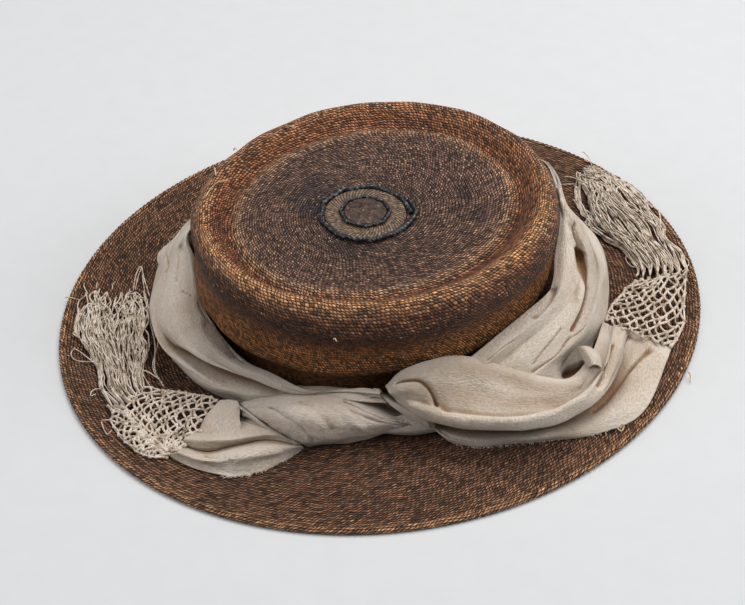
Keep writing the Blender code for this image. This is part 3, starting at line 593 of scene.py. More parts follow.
def disc(name, reach, low, thick, dome, ripple, seed):
    """A round pad with a soft edge and small lumps."""
    around, out = 96, 20
    share = np.concatenate([[1.0, 1.0], np.linspace(0.985, 0.0, out)])
    rise = np.concatenate([[0.0, 0.6], np.linspace(0.9, 1.0, out) ** 0.5])
    angle = turns(around)
    grid = np.zeros((len(share), around, 3))
    for i, (s, r) in enumerate(zip(share, rise)):
        grid[i, :, 0] = PATCH_X + reach * s * np.cos(angle)
        grid[i, :, 1] = PATCH_Y + reach * s * np.sin(angle)
        grid[i, :, 2] = low + thick * r + dome * (1 - s * s)
        if r > 0.8:
            lumps = [noise.noise(Vector(p / 0.004 + seed)) for p in grid[i]]
            grid[i, :, 2] += ripple * np.array(lumps)
    quads = grid_quads(len(share), around, wrap=True)
    uvs = ring_uvs(quads, around, lambda r, t: t, lambda r, t: share[r] * reach)
    return add_mesh(name, grid.reshape(-1, 3), quads, {"disc": uvs})


patch_ring = disc("patch_plait_disc", 0.0244, 0.0803, 0.0014, 0.0001, 0.0003, 5.0)
patch_centre = disc("patch_centre_pad", 0.0127, 0.0820, 0.0012, 0.0008, 0.0005, 9.0)


def corded(name, path, radius, twists, closed):
    """A laid cord: a tube whose section has three soft ridges that wind along it."""
    sides = 14
    angle = turns(sides)
    along = np.gradient(path, axis=0)
    if closed:
        along = np.roll(path, -1, axis=0) - np.roll(path, 1, axis=0)
    along /= np.linalg.norm(along, axis=1, keepdims=True)
    side = np.cross(along, (0.0, 0.0, 1.0))
    side /= np.linalg.norm(side, axis=1, keepdims=True)
    top = np.cross(side, along)
    wind = np.linspace(0, twists * 2 * math.pi, len(path), endpoint=not closed)[:, None]
    size = radius * (0.90 + 0.10 * np.cos(3 * (angle[None] + wind)))
    if not closed:
        size[:3] *= np.array([0.2, 0.8, 1.15])[:, None]
        size[-3:] *= np.array([1.15, 0.8, 0.2])[:, None]
    ring = round_ring(side, top, angle)
    points = (path[:, None] + ring * size[:, :, None]).reshape(-1, 3)
    quads = grid_quads(len(path), sides, wrap=True)
    if closed:
        last, j = (len(path) - 1) * sides, np.arange(sides)
        k = (j + 1) % sides
        quads = np.concatenate([quads, np.stack([last + j, last + k, k, j], axis=-1)])
    return add_mesh(name, points, quads)


def cord_path(turned, start, corners, reach, flatness, uneven, height, seed, swing=0.0):
    """A ring of cord drawn tight into soft corners, with the small wobbles of hand stitching."""
    side = 360 / corners
    flat_side = math.cos(math.radians(side / 2)) / np.cos(np.radians(turned % side - side / 2))
    wobble, small = (
        np.array([noise.noise(Vector((math.cos(a) * k, math.sin(a) * k, seed))) for a in np.radians(turned)])
        for k in (3, 11)
    )
    reach = reach * (1 - flatness + flatness * flat_side) + uneven * (wobble + 0.5 * small) + swing
    angle = np.radians(turned + start)
    x, y = PATCH_X + reach * np.cos(angle), PATCH_Y + reach * np.sin(angle)
    return np.stack([x, y, height + 0.4 * uneven * small], axis=-1)


# The outer cord goes once round, and its end swings out to lie beside its start.
turned = np.linspace(0, 388, 400)
swing = np.clip((turned - 322) / 30, 0, 1) * 0.0034
path = cord_path(turned, 44, 9, 0.0270, 0.7, 0.0010, PATCH_TOP, 4.0, swing)
outer_cord = corded("outer_waxed_cord", path, 0.0016, 40, closed=False)
path = cord_path(np.linspace(0, 360, 240, endpoint=False), 0, 8, 0.0149, 0.8, 0.0005, 0.0830, 8.0)
inner_cord = corded("inner_waxed_cord", path, 0.0011, 26, closed=True)
print("patch:", [triangles(o) for o in (patch_ring, patch_centre, outer_cord, inner_cord)], "triangles")

# %% Patch materials
# Plaited leaf, rubbed to tan on its high strips, with faint slanting rows 3.2 mm apart.
made, tree, shader = new_material("patch_leaf_plait", 0.6, 0.35)
spot = node(tree, "SeparateXYZ", {0: node(tree, "UVMap", uv_map="disc").outputs[0]})
rows = node(tree, "Math", {0: spot.outputs["Y"], 1: 2 * math.pi / 0.0032}, operation="MULTIPLY")
strips = node(tree, "Math", {0: spot.outputs["X"], 1: 2 * math.pi * 64}, operation="MULTIPLY")
leaning = node(tree, "Math", {0: rows, 1: 0.9, 2: strips}, operation="MULTIPLY_ADD")
ridge = node(tree, "Math", {0: leaning}, operation="SINE")
where = node(tree, "TexCoord").outputs["Object"]
fine = node(tree, "TexNoise", {"Vector": where, "Scale": 380.0, "Detail": 4.0, "Roughness": 0.75})
lift = node(tree, "Math", {0: ridge, 1: 0.10, 2: fine}, operation="MULTIPLY_ADD")
leaf_stops = [(0.30, "#221915"), (0.44, "#4b3a2f"), (0.56, "#705c4a"), (0.72, "#a48c72")]
tone = node(tree, "ValToRGB", {0: lift}, stops=leaf_stops)
bump = node(tree, "Bump", {"Strength": 0.8, "Distance": 0.0006, "Height": lift})
fill(shader, {"Base Color": tone, "Normal": bump})
patch_ring.data.materials.append(made)

# The centre is dark brown with pale scuffs, like worn bark or leather.
made, tree, shader = new_material("patch_scuffed_centre", 0.55, 0.4)
where = node(tree, "TexCoord").outputs["Object"]
scuff = node(tree, "TexNoise", {
    "Vector": where, "Scale": 300.0, "Detail": 3.0, "Roughness": 0.75, "Distortion": 0.8,
})
scuff_stops = [(0.34, "#1c120e"), (0.48, "#38251c"), (0.60, "#564034"), (0.72, "#b0967a")]
tone = node(tree, "ValToRGB", {0: scuff}, stops=scuff_stops)
bump = node(tree, "Bump", {"Strength": 0.9, "Distance": 0.0008, "Height": scuff})
fill(shader, {"Base Color": tone, "Normal": bump})
patch_centre.data.materials.append(made)

# Waxed cord is blue-black and a little shiny where the wax is rubbed; the pale grey flecks in its colour are
# painted sheen.
made, tree, shader = new_material("waxed_cord", 0.42, 0.5)
where = node(tree, "TexCoord").outputs["Object"]
wax_and_painted_sheen = node(tree, "TexNoise", {"Vector": where, "Scale": 520.0, "Detail": 3.0})
tone = node(tree, "ValToRGB", {0: wax_and_painted_sheen}, stops=[(0.38, "#0a0a0d"), (0.56, "#1a1c22"), (0.66, "#6c6f75")])
shine = node(tree, "MapRange", {0: wax_and_painted_sheen, 1: 0.4, 2: 0.7, 3: 0.55, 4: 0.30})
fill(shader, {"Base Color": tone, "Roughness": shine})
for cord_piece in (outer_cord, inner_cord):
    cord_piece.data.materials.append(made)
for piece, cad_name, slot in (
    (patch_ring, "patch_ring", "patch_plait"), (patch_centre, "patch_centre", "patch_centre"),
    (outer_cord, "outer_cord", "dark_cord"), (inner_cord, "inner_cord", "dark_cord"),
):
    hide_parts(cad_name)
    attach(piece, "root")

# %% [markdown]
# ## The scarf cloth
# The scarf is ivory crepe: a light cotton with a fine, crinkled face that stays matt and a little
# see-through, so its shadows turn warm, and a warm tan shade is also painted into the bottoms of its
# folds. The tables that follow hold its fold lines. Each line runs along the scarf, over the crest of a
# fold or down in the crease beside it, and the sheet is laid smoothly from line to line.

# %% Crepe material
# Crepe threads are about 0.4 mm apart, finer than a pixel, so the crinkle is drawn at 2.4 by 0.7 mm.
crepe, tree, shader = new_material("ivory_crepe_cotton", 0.85, 0.25)
cloth = node(tree, "UVMap", uv_map="cloth")
run = node(tree, "Mapping", {0: cloth.outputs[0], "Scale": (420.0, 1450.0, 1.0)})
crinkle = node(tree, "TexNoise", {
    "Vector": run, "Scale": 1.0, "Detail": 2.0, "Roughness": 0.6, "Distortion": 0.3,
})
wide = node(tree, "Mapping", {0: cloth.outputs[0], "Scale": (40.0, 190.0, 1.0)})
pulls = node(tree, "TexNoise", {"Vector": wide, "Scale": 1.0, "Detail": 3.0, "Roughness": 0.55})
here = node(tree, "TexCoord").outputs["Object"]
dirt = node(tree, "TexNoise", {"Vector": here, "Scale": 30.0, "Detail": 3.0})
ivory = node(tree, "ValToRGB", {0: dirt}, stops=[(0.30, "#c9b8a5"), (0.50, "#dbcdbf"), (0.75, "#e2d7cb")])
threadwise = node(tree, "MapRange", {0: crinkle, 1: 0.3, 2: 0.7, 3: 0.80, 4: 1.12})
tinted = node(tree, "Mix", {0: 1.0, 6: ivory, 7: threadwise}, **TIMES)
# A damp brown stain with a small dark hole in it, high on the left of the turn.
for centre, full_within, none_past, colour, strength in (
    ((-0.0957, -0.0797, 0.0385), 0.0026, 0.0072, "#8d7a5e", 0.60),
    ((-0.0962, -0.0797, 0.0375), 0.0014, 0.0032, "#4a3f2c", 0.9),
):
    far_off = node(tree, "VectorMath", {0: here, 1: centre}, operation="DISTANCE").outputs["Value"]
    spread = node(tree, "MapRange", {0: far_off, 1: none_past, 2: full_within, 3: 0.0, 4: strength})
    tinted = node(tree, "Mix", {0: spread, 6: tinted, 7: colour}, **OVER)
# Painted shade: the bottoms of folds are painted darker and warmer, for light that reaches them only after
# passing through cloth.
painted_fold_shade = node(tree, "SeparateXYZ", {0: node(tree, "UVMap", uv_map="painted_fold_shade").outputs[0]})
shade_stops = [(0.10, "#ffffff"), (0.45, "#ccc2b6"), (1.0, "#b29070")]
shade = node(tree, "ValToRGB", {0: painted_fold_shade.outputs["X"]}, stops=shade_stops)
tinted = node(tree, "Mix", {0: 1.0, 6: tinted, 7: shade}, **TIMES)
heights = node(tree, "Math", {0: pulls, 1: 0.9, 2: crinkle}, operation="MULTIPLY_ADD")
bump = node(tree, "Bump", {"Strength": 1.0, "Distance": 0.0013, "Height": heights})
fill(shader, {
    "Base Color": tinted, "Normal": bump, "Subsurface Weight": 0.25, "Subsurface Radius": (1.0, 0.72, 0.45),
    "Subsurface Scale": 0.0022, "Sheen Weight": 0.15,
})


# %% Pressing creases into a cloth
def press(grid, normals, run, wide, marks):
    """Presses creases into a cloth. Each mark has a depth and a width in mm, then shares of the cloth.

    A share pair says how far along and how far across a point of the crease lies. A depth below
    zero raises a soft ridge instead.
    """
    spots = np.stack(np.meshgrid(run, wide), axis=-1)
    along = np.linspace(0, 1, len(run))
    across = np.linspace(0, 1, len(wide))
    for depth, width, *shares in marks.values():
        shares = np.array(shares)
        at_run, at_wide = np.interp(shares[:, 0], along, run), np.interp(shares[:, 1], across, wide)
        path = through(np.stack([at_run, at_wide], -1), 60)
        away = np.min([np.hypot(*np.moveaxis(spots - p, -1, 0)) for p in path], axis=0)
        grid -= normals * (depth / 1000 * np.exp(-((away * 1000 / width) ** 2)))[..., None]
    return grid


FULL_HOLLOW = 0.0013   # a point this far below its neighbours counts as the bottom of a fold


def hollows(grid, normals, reach=4):
    """How far each point lies below the mean of its neighbours, from 0 to 1."""
    mean = grid
    for axis in (0, 1):
        pad = [(reach, reach) if k == axis else (0, 0) for k in range(3)]
        wide = np.pad(mean, pad, mode="reflect", reflect_type="odd")
        size = mean.shape[axis]
        count = 2 * reach + 1
        mean = sum(np.take(wide, np.arange(k, k + size), axis=axis) for k in range(count)) / count
    return np.clip(((mean - grid) * normals).sum(-1) / FULL_HOLLOW, 0, 1)


# %% Laying a sheet through fold lines
flat_sizes = {}


def sheet(
    name, fold_lines, along, across, crumple=0.0007, size=0.012, seed=0.0, thick=0.0009, marks=None,
    painted_shade=None,
):
    """A cloth through its fold lines, with small soft creases that run mostly along it.

    Shade is painted into the cloth's colour in its hollows and along the fold lines named by the last
    argument, each with its depth of tone from 0 to 1.
    """
    lines = np.array([line(rows, along) for rows in fold_lines.values()])
    grid = through(lines, across)
    normals = grid_normals(grid)
    normals *= np.sign(normals[..., 2].sum())
    run = run_along(np.linalg.norm(np.diff(grid, axis=1), axis=2).mean(axis=0))
    wide = run_along(np.linalg.norm(np.diff(grid, axis=0), axis=2).mean(axis=1))
    for i in range(across):
        for j in range(along):
            spot = Vector((run[j] / (size * 3.2), wide[i] / size, seed))
            fine = Vector((run[j] / (size * 1.0), wide[i] / (size * 0.35), seed + 7.0))
            grid[i, j] += normals[i, j] * (crumple * noise.noise(spot) + 0.25 * crumple * noise.noise(fine))
    if marks:
        grid = press(grid, normals, run, wide, marks)
    quads = grid_quads(across, along)
    row, col = quads // along, quads % along
    pairs = np.stack([run[col], wide[row]], axis=-1).reshape(-1, 2)
    # Painted shade: how dark the cloth's colour is painted, in its hollows and along the named fold lines.
    painted_shade_depth = hollows(grid, normals)
    ends = np.minimum(1, 8 * np.minimum(np.linspace(0, 1, along), np.linspace(1, 0, along)))
    for line_name, tone in (painted_shade or {}).items():
        away = np.linspace(0, len(lines) - 1, across) - list(fold_lines).index(line_name)
        painted_shade_depth = np.maximum(painted_shade_depth, tone * np.exp(-((away / 0.6) ** 2))[:, None] * ends)
    painted_shade_depth = painted_shade_depth.reshape(-1)[quads]
    painted_shade_depth = np.stack([painted_shade_depth, np.zeros_like(painted_shade_depth)], axis=-1).reshape(-1, 2)
    made = add_mesh(name, grid.reshape(-1, 3), quads, {"cloth": pairs, "painted_fold_shade": painted_shade_depth}, crepe)
    if sum(face.normal.z * face.area for face in made.data.polygons) < 0:
        made.data.flip_normals()
    body = made.modifiers.new("cloth thickness", "SOLIDIFY")
    body.thickness = thick
    body.offset = -1.0
    flat_sizes[name] = (wide[-1], run[-1])
    long_mm, wide_mm = run[-1] * 1000, wide[-1] * 1000
    print(f"{name}: {triangles(made)} triangles, {long_mm:.0f} mm along, {wide_mm:.0f} mm across")
    return made


# %% [markdown]
# ## The turn round the crown
# The scarf's middle goes round the crown as a loose band of soft folds. It starts under the
# right-hand end, rises beside the bulge at the back and comes down to the knot on the left.

# %% Band fold lines
# bearing in degrees, reach in mm, height in mm
BAND = {
    "hem": ((-20.8, 108.7, 38), (-10.6, 104.3, 42), (10.7, 101.4, 43), (24.1, 106.2, 45), (40.2, 104.4, 48),
        (51.6, 108.8, 58), (60.8, 111.3, 64), (76.3, 117.4, 68), (100, 108, 60), (125, 102.2, 55),
        (150, 99.4, 50), (175, 101, 47), (197, 105.2, 46), (216.7, 121.3, 45), (228.1, 115.2, 40),
        (244.5, 115.6, 34), (254.5, 115.6, 32), (263.4, 116.2, 29.5), (271.7, 116.4, 27),
        (281.5, 115.4, 27), (288.8, 117.1, 27), (295, 117.3, 27), (303.4, 113, 29), (313.6, 112.7, 30)),
    "roll_one": ((-17.6, 116.6, 38), (-8.2, 113.4, 43), (10.3, 111.3, 45), (24.1, 113.5, 47),
        (40.3, 112.2, 50), (51, 112.4, 57), (60.2, 112.3, 63), (76.7, 118.8, 67), (100, 112, 59),
        (125, 107.2, 54), (150, 105.4, 50), (175, 108, 49), (197, 113.2, 48), (217.9, 122.6, 46),
        (229.7, 118.1, 41), (246.3, 121.4, 36), (257.7, 126.4, 35.5), (266, 127.9, 34), (273.8, 127.8, 33),
        (281.8, 124.9, 32), (288.4, 124.1, 30), (294.9, 121.5, 29), (303.7, 115.8, 30), (313.7, 117.5, 32)),
    "crease_one": ((-13.8, 117.5, 33), (-3.2, 113.2, 36), (16.3, 116.1, 38), (30.4, 118.5, 37),
        (47.2, 120.5, 37), (56.3, 118.7, 46), (61.5, 114.7, 60), (76.6, 119.5, 66.5), (100, 115, 50),
        (125, 110.2, 44), (150, 109.4, 40), (175, 113, 38), (197, 119.2, 38), (215, 126.3, 40),
        (228.2, 122.6, 38), (245, 127, 34), (256.5, 132.3, 33), (264.8, 132.7, 32), (272.3, 129.7, 30),
        (279.8, 125.9, 29), (287.1, 123.7, 27), (293.9, 120.9, 27), (303.6, 115.3, 28), (313.7, 117, 30)),
    "roll_two": ((-10.6, 123.2, 31), (-2.1, 120.9, 35), (15.8, 123.2, 37), (28.8, 124.6, 37),
        (43.3, 125.9, 38), (53.1, 120.6, 50), (60.3, 115.2, 60), (76.5, 120.1, 66), (100, 121, 50),
        (125, 116.2, 44), (150, 115.4, 41), (175, 119, 39), (197, 125.2, 38), (213.8, 129.9, 36),
        (226.2, 128.6, 34), (242.4, 135.1, 30), (254.6, 138.2, 30), (263.3, 135.8, 29.5),
        (271.1, 130.4, 28), (278.1, 125.3, 26), (285.6, 122.1, 24), (292.7, 119.2, 24), (303.7, 115.9, 27),
        (313.7, 117.6, 29)),
    "crease_two": ((-5, 131.1, 26), (1.8, 128.6, 30), (15.3, 129.9, 32), (29.3, 130.1, 33.5),
        (43.3, 130.4, 35), (54.3, 124.6, 46), (62.2, 117.9, 56), (77.1, 121.5, 64), (100, 123, 40),
        (125, 119.2, 34), (150, 118.4, 31), (175, 123, 30), (197, 130.2, 31), (211.2, 134, 30),
        (221.8, 134.4, 26), (239.4, 141.4, 24), (248.2, 139.8, 18), (254.2, 128.9, 13.5),
        (263.6, 120.3, 12), (272.1, 114.8, 12), (281.8, 111.9, 13), (289.9, 112.9, 16), (303.2, 112.1, 22),
        (313.7, 113.8, 24)),
    "roll_three": ((-1.3, 135.1, 22), (4.7, 131.8, 26), (17.2, 133.5, 28), (30.4, 133.6, 30),
        (44.1, 134.4, 32), (57.1, 129.9, 40), (63.5, 120.3, 52), (77.6, 122.9, 62), (100, 127, 33),
        (125, 123.2, 27), (150, 123.4, 24), (175, 128, 23), (197, 135.2, 24), (207.7, 139.6, 22),
        (219.8, 138.5, 22), (238.3, 144.8, 21), (250.9, 147, 21), (261.3, 141.8, 21), (269.7, 139.1, 20),
        (277, 130.7, 19), (283.8, 121.8, 17), (290, 112.3, 14), (302.6, 107.3, 16), (313.6, 108.8, 18)),
    "foot": ((9.1, 146.3, 10), (20.9, 137.1, 10), (34.4, 137.7, 8), (46.3, 141, 8), (58.6, 147.4, 8),
        (66.5, 147.8, 14), (66.1, 124.6, 44), (78.2, 124.8, 59), (100, 128, 20), (125, 123.2, 9),
        (150, 124.4, 7), (175, 130, 7), (197, 140.2, 8), (202.6, 148.5, 8), (211.7, 147.1, 7),
        (227.9, 146.3, 6), (239.2, 143.2, 5), (254.3, 138.2, 5), (263.7, 135.4, 5), (274.3, 130, 6),
        (282.1, 121.1, 8), (289.6, 109.7, 10), (302.3, 104.7, 12), (313.6, 106.1, 14)),
}

# %% Band creases
BAND_PRESSED = {
    "right_smooth": (-3.4, 3.2, (0.265, 0.0), (0.245, 0.1), (0.225, 0.22), (0.21, 0.44), (0.19, 0.39)),
    "right_deep": (4.0, 2.2, (0.18, 0.32), (0.165, 0.38), (0.15, 0.45), (0.14, 0.54),
        (0.115, 0.59), (0.09, 0.62)),
    "right_lip": (-1.6, 2.5, (0.175, 0.21), (0.155, 0.25), (0.14, 0.4), (0.12, 0.47)),
    "right_wall": (2.0, 2.5, (0.13, 0.05), (0.105, 0.12), (0.085, 0.13)),
    "right_pleat_one": (1.3, 0.8, (0.055, 0.21), (0.04, 0.18), (0.02, 0.17)),
    "right_pleat_two": (1.3, 0.8, (0.08, 0.51), (0.065, 0.55), (0.035, 0.6)),
    "right_pleat_three": (1.4, 0.8, (0.1, 0.76), (0.08, 0.66), (0.055, 0.71), (0.02, 0.64)),
    "right_pleat_four": (1.2, 0.9, (0.09, 0.89), (0.07, 0.88), (0.025, 0.89)),
    "right_seam": (0.7, 0.8, (0.18, 0.86), (0.16, 0.81), (0.135, 0.83), (0.11, 0.87)),
    "left_fold_one": (0.9, 1.0, (0.595, 0.44), (0.615, 0.45), (0.625, 0.44)),
    "left_fold_two": (0.9, 0.9, (0.635, 0.35), (0.64, 0.22)),
    "left_fold_three": (0.9, 1.0, (0.585, 0.89), (0.605, 0.68), (0.615, 0.67)),
    "left_hem_seam": (0.7, 0.8, (0.65, 0.1), (0.69, 0.02), (0.74, 0.02), (0.78, 0.06)),
    "left_hollow": (1.0, 3.0, (0.685, 0.08), (0.725, 0.06), (0.76, 0.06)),
    "left_low_one": (0.8, 2.5, (0.745, 0.86), (0.79, 0.81), (0.83, 0.83)),
    "right_hollow": (6.0, 3.5, (0.02, 0.93), (0.022, 0.97), (0.025, 0.99)),
}

# %% Band
# Shade is painted lightly along the lower crease of the band.
band = sheet(
    "scarf_band_cloth", BAND, 480, 80, crumple=0.0011, seed=1.0, marks=BAND_PRESSED,
    painted_shade={"crease_two": 0.2},
)
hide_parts("scarf_band")

# %% A torn bit at the back left
TORN_BIT = {
    "inner": ((208.6, 139.4, 22), (211.9, 138.8, 20), (215.4, 137.9, 17), (216.9, 137.8, 15)),
    "middle": ((209.6, 143.5, 19), (212, 143.6, 17), (214.1, 142.8, 14), (215.6, 140.7, 13)),
    "outer": ((209.2, 145.4, 17), (211.2, 148.2, 13), (213.3, 146.3, 11), (214.7, 142.7, 11)),
}
torn_bit = sheet("scarf_torn_bit", TORN_BIT, 20, 20, crumple=0.0008, size=0.004, seed=13.0)
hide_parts("scarf_band")

# %% [markdown]
# ## The right-hand end
# This end comes out of the knot as a wide mouth, folds over along a soft ridge with a dark hollow
# under it, and spreads over the brim to the edge where the net is knotted on.

# %% Right end fold lines
TAIL_RIGHT = {
    "hem": ((315.1, 112.6, 33), (320.3, 107.2, 40), (333.2, 104, 43), (342.4, 108.2, 41),
        (350.6, 120.4, 35), (358.1, 134.5, 28), (364.8, 143.4, 23), (372.8, 144.3, 28), (392.3, 137.3, 12)),
    "hump": ((315.6, 118.6, 36), (320.4, 115.6, 42), (331.2, 114.7, 43), (339.7, 118.4, 40),
        (347.9, 128.3, 34), (355.1, 141.4, 29), (362.1, 151.3, 26), (371.1, 152, 27), (391.4, 141.2, 13)),
    "slope": ((316.4, 120.6, 34), (321.2, 121.3, 37), (329.6, 124.3, 36), (336.8, 130.5, 33),
        (344.3, 140, 30), (351.8, 148.3, 27), (358.6, 156.2, 25), (370.9, 154.6, 24), (391.7, 143.1, 12)),
    "ridge": ((317.8, 120.5, 30), (322.6, 126.3, 29), (-32.4, 135.5, 30), (333.7, 144.3, 29.5),
        (340.7, 152.1, 29), (347, 158.3, 28), (353.9, 161.5, 27), (7.8, 157.7, 24), (391.1, 145.7, 13)),
    "front": ((318.9, 119.4, 25), (324.3, 128.5, 22), (-31.4, 136.3, 21), (334, 143.4, 20),
        (341.1, 151, 20), (347.6, 158.8, 20), (354.9, 163.4, 19), (8.7, 162.8, 18), (391.8, 151.7, 11)),
    "recess": ((320, 115.2, 18), (325.9, 122.7, 13), (-28.8, 121.5, 8), (337, 127.2, 6), (344.9, 136.5, 6),
        (352.3, 146, 6), (359.9, 154.7, 6.5), (13.4, 159.1, 7), (392.8, 155.3, 8)),
    "layer": ((320.8, 111.4, 12), (326.9, 121.3, 9), (330.3, 131.5, 8), (335.6, 139.4, 7.5),
        (342.6, 146.4, 7.5), (350.3, 155.8, 7.5), (358.2, 165.1, 7.5), (369.9, 171.6, 8), (391, 166.9, 8)),
    "edge": ((321.8, 106.7, 6), (328.3, 120.1, 5), (331.4, 133.1, 4), (336.4, 142.4, 4), (343.1, 148, 4),
        (352.1, 159, 4), (360.9, 173.7, 4), (371.5, 183.2, 4), (390.5, 180.9, 4)),
}

# %% Right end creases
TAIL_RIGHT_PRESSED = {
    "mouth": (3.6, 1.5, (0.075, 0.16), (0.125, 0.19), (0.175, 0.21), (0.2, 0.25), (0.225, 0.31),
        (0.24, 0.35)),
    "lobe": (-2.2, 4.5, (0.095, 0.28), (0.15, 0.29), (0.19, 0.33)),
    "lobe_end": (1.6, 3.0, (0.26, 0.34), (0.29, 0.38)),
    "body_one": (1.3, 4.0, (0.365, 0.22), (0.41, 0.24), (0.455, 0.27)),
    "body_two": (-1.0, 4.0, (0.245, 0.16), (0.34, 0.18), (0.425, 0.19)),
    "body_three": (0.9, 5.0, (0.545, 0.2), (0.635, 0.23), (0.715, 0.21)),
    "pleat_one": (2.0, 1.5, (0.96, 0.46), (0.925, 0.44), (0.895, 0.45), (0.86, 0.46)),
    "pleat_two": (-1.2, 2.5, (0.975, 0.53), (0.94, 0.52), (0.9, 0.52), (0.855, 0.53)),
    "pleat_three": (1.3, 2.0, (0.985, 0.7), (0.955, 0.66), (0.905, 0.57), (0.86, 0.55)),
    "lower_crease": (2.2, 1.4, (0.805, 0.77), (0.835, 0.76), (0.875, 0.75), (0.92, 0.78),
        (0.96, 0.84), (0.98, 0.88)),
    "lip": (-2.3, 2.8, (0.115, 0.42), (0.25, 0.43), (0.375, 0.42), (0.5, 0.42), (0.625, 0.42),
        (0.75, 0.42), (0.825, 0.44), (0.87, 0.35)),
    "behind_lip": (3.2, 5.0, (0.195, 0.36), (0.325, 0.37), (0.45, 0.36), (0.595, 0.34), (0.7, 0.29),
        (0.77, 0.2)),
    "corner": (1.4, 1.6, (0.22, 0.82), (0.275, 0.85), (0.325, 0.86), (0.385, 0.87)),
}

# %% Right end
# Shade is painted deep into the recess under the ridge, and lightly over the hump and slope, whose cloth
# faces away from the lamp.
tail_right = sheet(
    "scarf_tail_right_cloth", TAIL_RIGHT, 270, 116, crumple=0.0011, seed=2.0, marks=TAIL_RIGHT_PRESSED,
    painted_shade={"recess": 0.9, "slope": 0.36, "hump": 0.30},
)
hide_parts("scarf_tail_right")

# %% [markdown]
# Near the net, one corner of this end has curled over and left a dark hole under its lip. It is a
# small sheet of its own, laid on the large one.

# %% Curled corner
CURL = {
    "inner": ((11.6, 135.8, 30), (9.7, 140.4, 30), (8.3, 145.3, 29.5), (7.5, 149.8, 28)),
    "swell": ((10.6, 139.6, 34), (9, 145.1, 35.5), (7.9, 149.7, 35), (7, 153.1, 33)),
    "rim": ((11.3, 141.3, 34), (10.3, 147.2, 35), (9.5, 152, 34), (8.3, 154.8, 31.5)),
    "back": ((13.9, 141.6, 29), (13.4, 146.8, 28), (12.2, 151.2, 27), (10, 155.1, 26)),
}
curl = sheet("scarf_curled_corner", CURL, 34, 30, crumple=0.0003, seed=12.0)
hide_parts("scarf_tail_right")

# %% [markdown]
# ## The knot
# The two ends cross in front as one fat roll. Its cloth winds from upper left to lower right, so the
# left edge of the roll is a slanting line, with narrow pleats of the other end lying along it.

# %% Roll fold lines
TWIST = {
    "behind": ((275.6, 124.2, 8), (280.8, 114, 12), (285.6, 101.1, 12), (293.1, 93.9, 12),
        (302.2, 91.2, 12), (309.8, 94.2, 10), (316.9, 100.4, 8), (322.8, 110, 8)),
    "back": ((276.9, 136, 14), (284.8, 131.1, 22), (291.8, 123.4, 26), (298.3, 119.5, 27),
        (305.3, 117.6, 26), (311, 119.8, 23), (316.4, 122.5, 18), (321.8, 123.8, 13)),
    "crown": ((280.9, 138.8, 15), (288.1, 138.4, 25), (293.8, 133.7, 30), (299.9, 130.3, 31),
        (306.1, 127.6, 29), (311.2, 127.5, 25), (316.4, 126.6, 19), (321.7, 124.7, 13)),
    "brow": ((284.6, 139.6, 13), (290.9, 142, 23), (295.9, 141.4, 29), (301, 138, 30), (306.5, 133.8, 27),
        (311.3, 130.7, 23), (316.3, 128.4, 18), (321.7, 124.4, 12)),
    "face": ((288.2, 139.8, 10), (292.8, 143.2, 18), (297, 144.2, 23), (301.9, 141.9, 24),
        (306.7, 136.7, 22), (311.4, 132.3, 19), (316.4, 127.7, 15), (321.7, 124.2, 11)),
    "under": ((291.6, 139.8, 7), (294.7, 142.5, 12), (297.8, 144.1, 15), (302.1, 140, 15),
        (306.8, 134.7, 14), (311.3, 130.8, 13), (316.1, 126.3, 11), (321.6, 122.8, 9)),
    "foot": ((295.2, 138.7, 3.5), (296.7, 138.3, 3.5), (298.7, 136.4, 3.5), (302.3, 132.9, 3.5),
        (307.1, 129.2, 3.5), (311.7, 125.3, 4), (316.2, 121, 4.5), (321.2, 119.5, 6)),
}

# %% Roll creases
TWIST_PRESSED = {
    "twist_one": (1.7, 2.2, (0.13, 0.26), (0.16, 0.46), (0.24, 0.7), (0.3, 0.85)),
    "twist_two": (1.4, 2.5, (0.29, 0.26), (0.385, 0.46), (0.45, 0.69)),
    "twist_three": (-1.4, 3.0, (0.43, 0.25), (0.54, 0.43), (0.65, 0.69)),
    "twist_four": (1.7, 1.6, (0.54, 0.21), (0.69, 0.27), (0.86, 0.38)),
    "twist_five": (1.5, 1.6, (0.585, 0.38), (0.75, 0.5), (0.905, 0.52)),
}

# %% Roll
twist = sheet(
    "scarf_roll_cloth", TWIST, 170, 80, crumple=0.0015, size=0.009, seed=3.0, marks=TWIST_PRESSED,
)
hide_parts("scarf_twist")

# %% Pleats beside the roll
PLEAT_LONG = {
    "upper": ((276.8, 137.4, 14.5), (281.1, 137.5, 13.5), (285.6, 139.3, 11.5), (290.3, 141, 9.5),
        (295.2, 141.4, 5.5)),
    "top": ((278.5, 140.3, 16.5), (282.8, 141.3, 15), (287.3, 143, 12.5), (291.5, 143.4, 10),
        (295.6, 142.5, 6)),
    "lower": ((278.1, 138.8, 13), (282.3, 140.7, 12), (286.3, 142.2, 10), (290.7, 143.3, 8),
        (295, 142.3, 5)),
}
PLEAT_SHORT = {
    "upper": ((277.6, 137.3, 12), (280.6, 137.8, 11.5), (283.7, 138.7, 10.5), (286.3, 139.8, 9.5),
        (288.6, 140.4, 8.5)),
    "top": ((279, 140.4, 13), (281.8, 139.8, 12.5), (284.5, 140.4, 11.5), (287.1, 141.2, 10),
        (289.7, 141.9, 8.5)),
    "lower": ((279.1, 140.8, 11), (281.4, 139.7, 10.5), (284.2, 140.3, 9.5), (286.6, 141.1, 8.5),
        (289.1, 141.7, 7)),
}
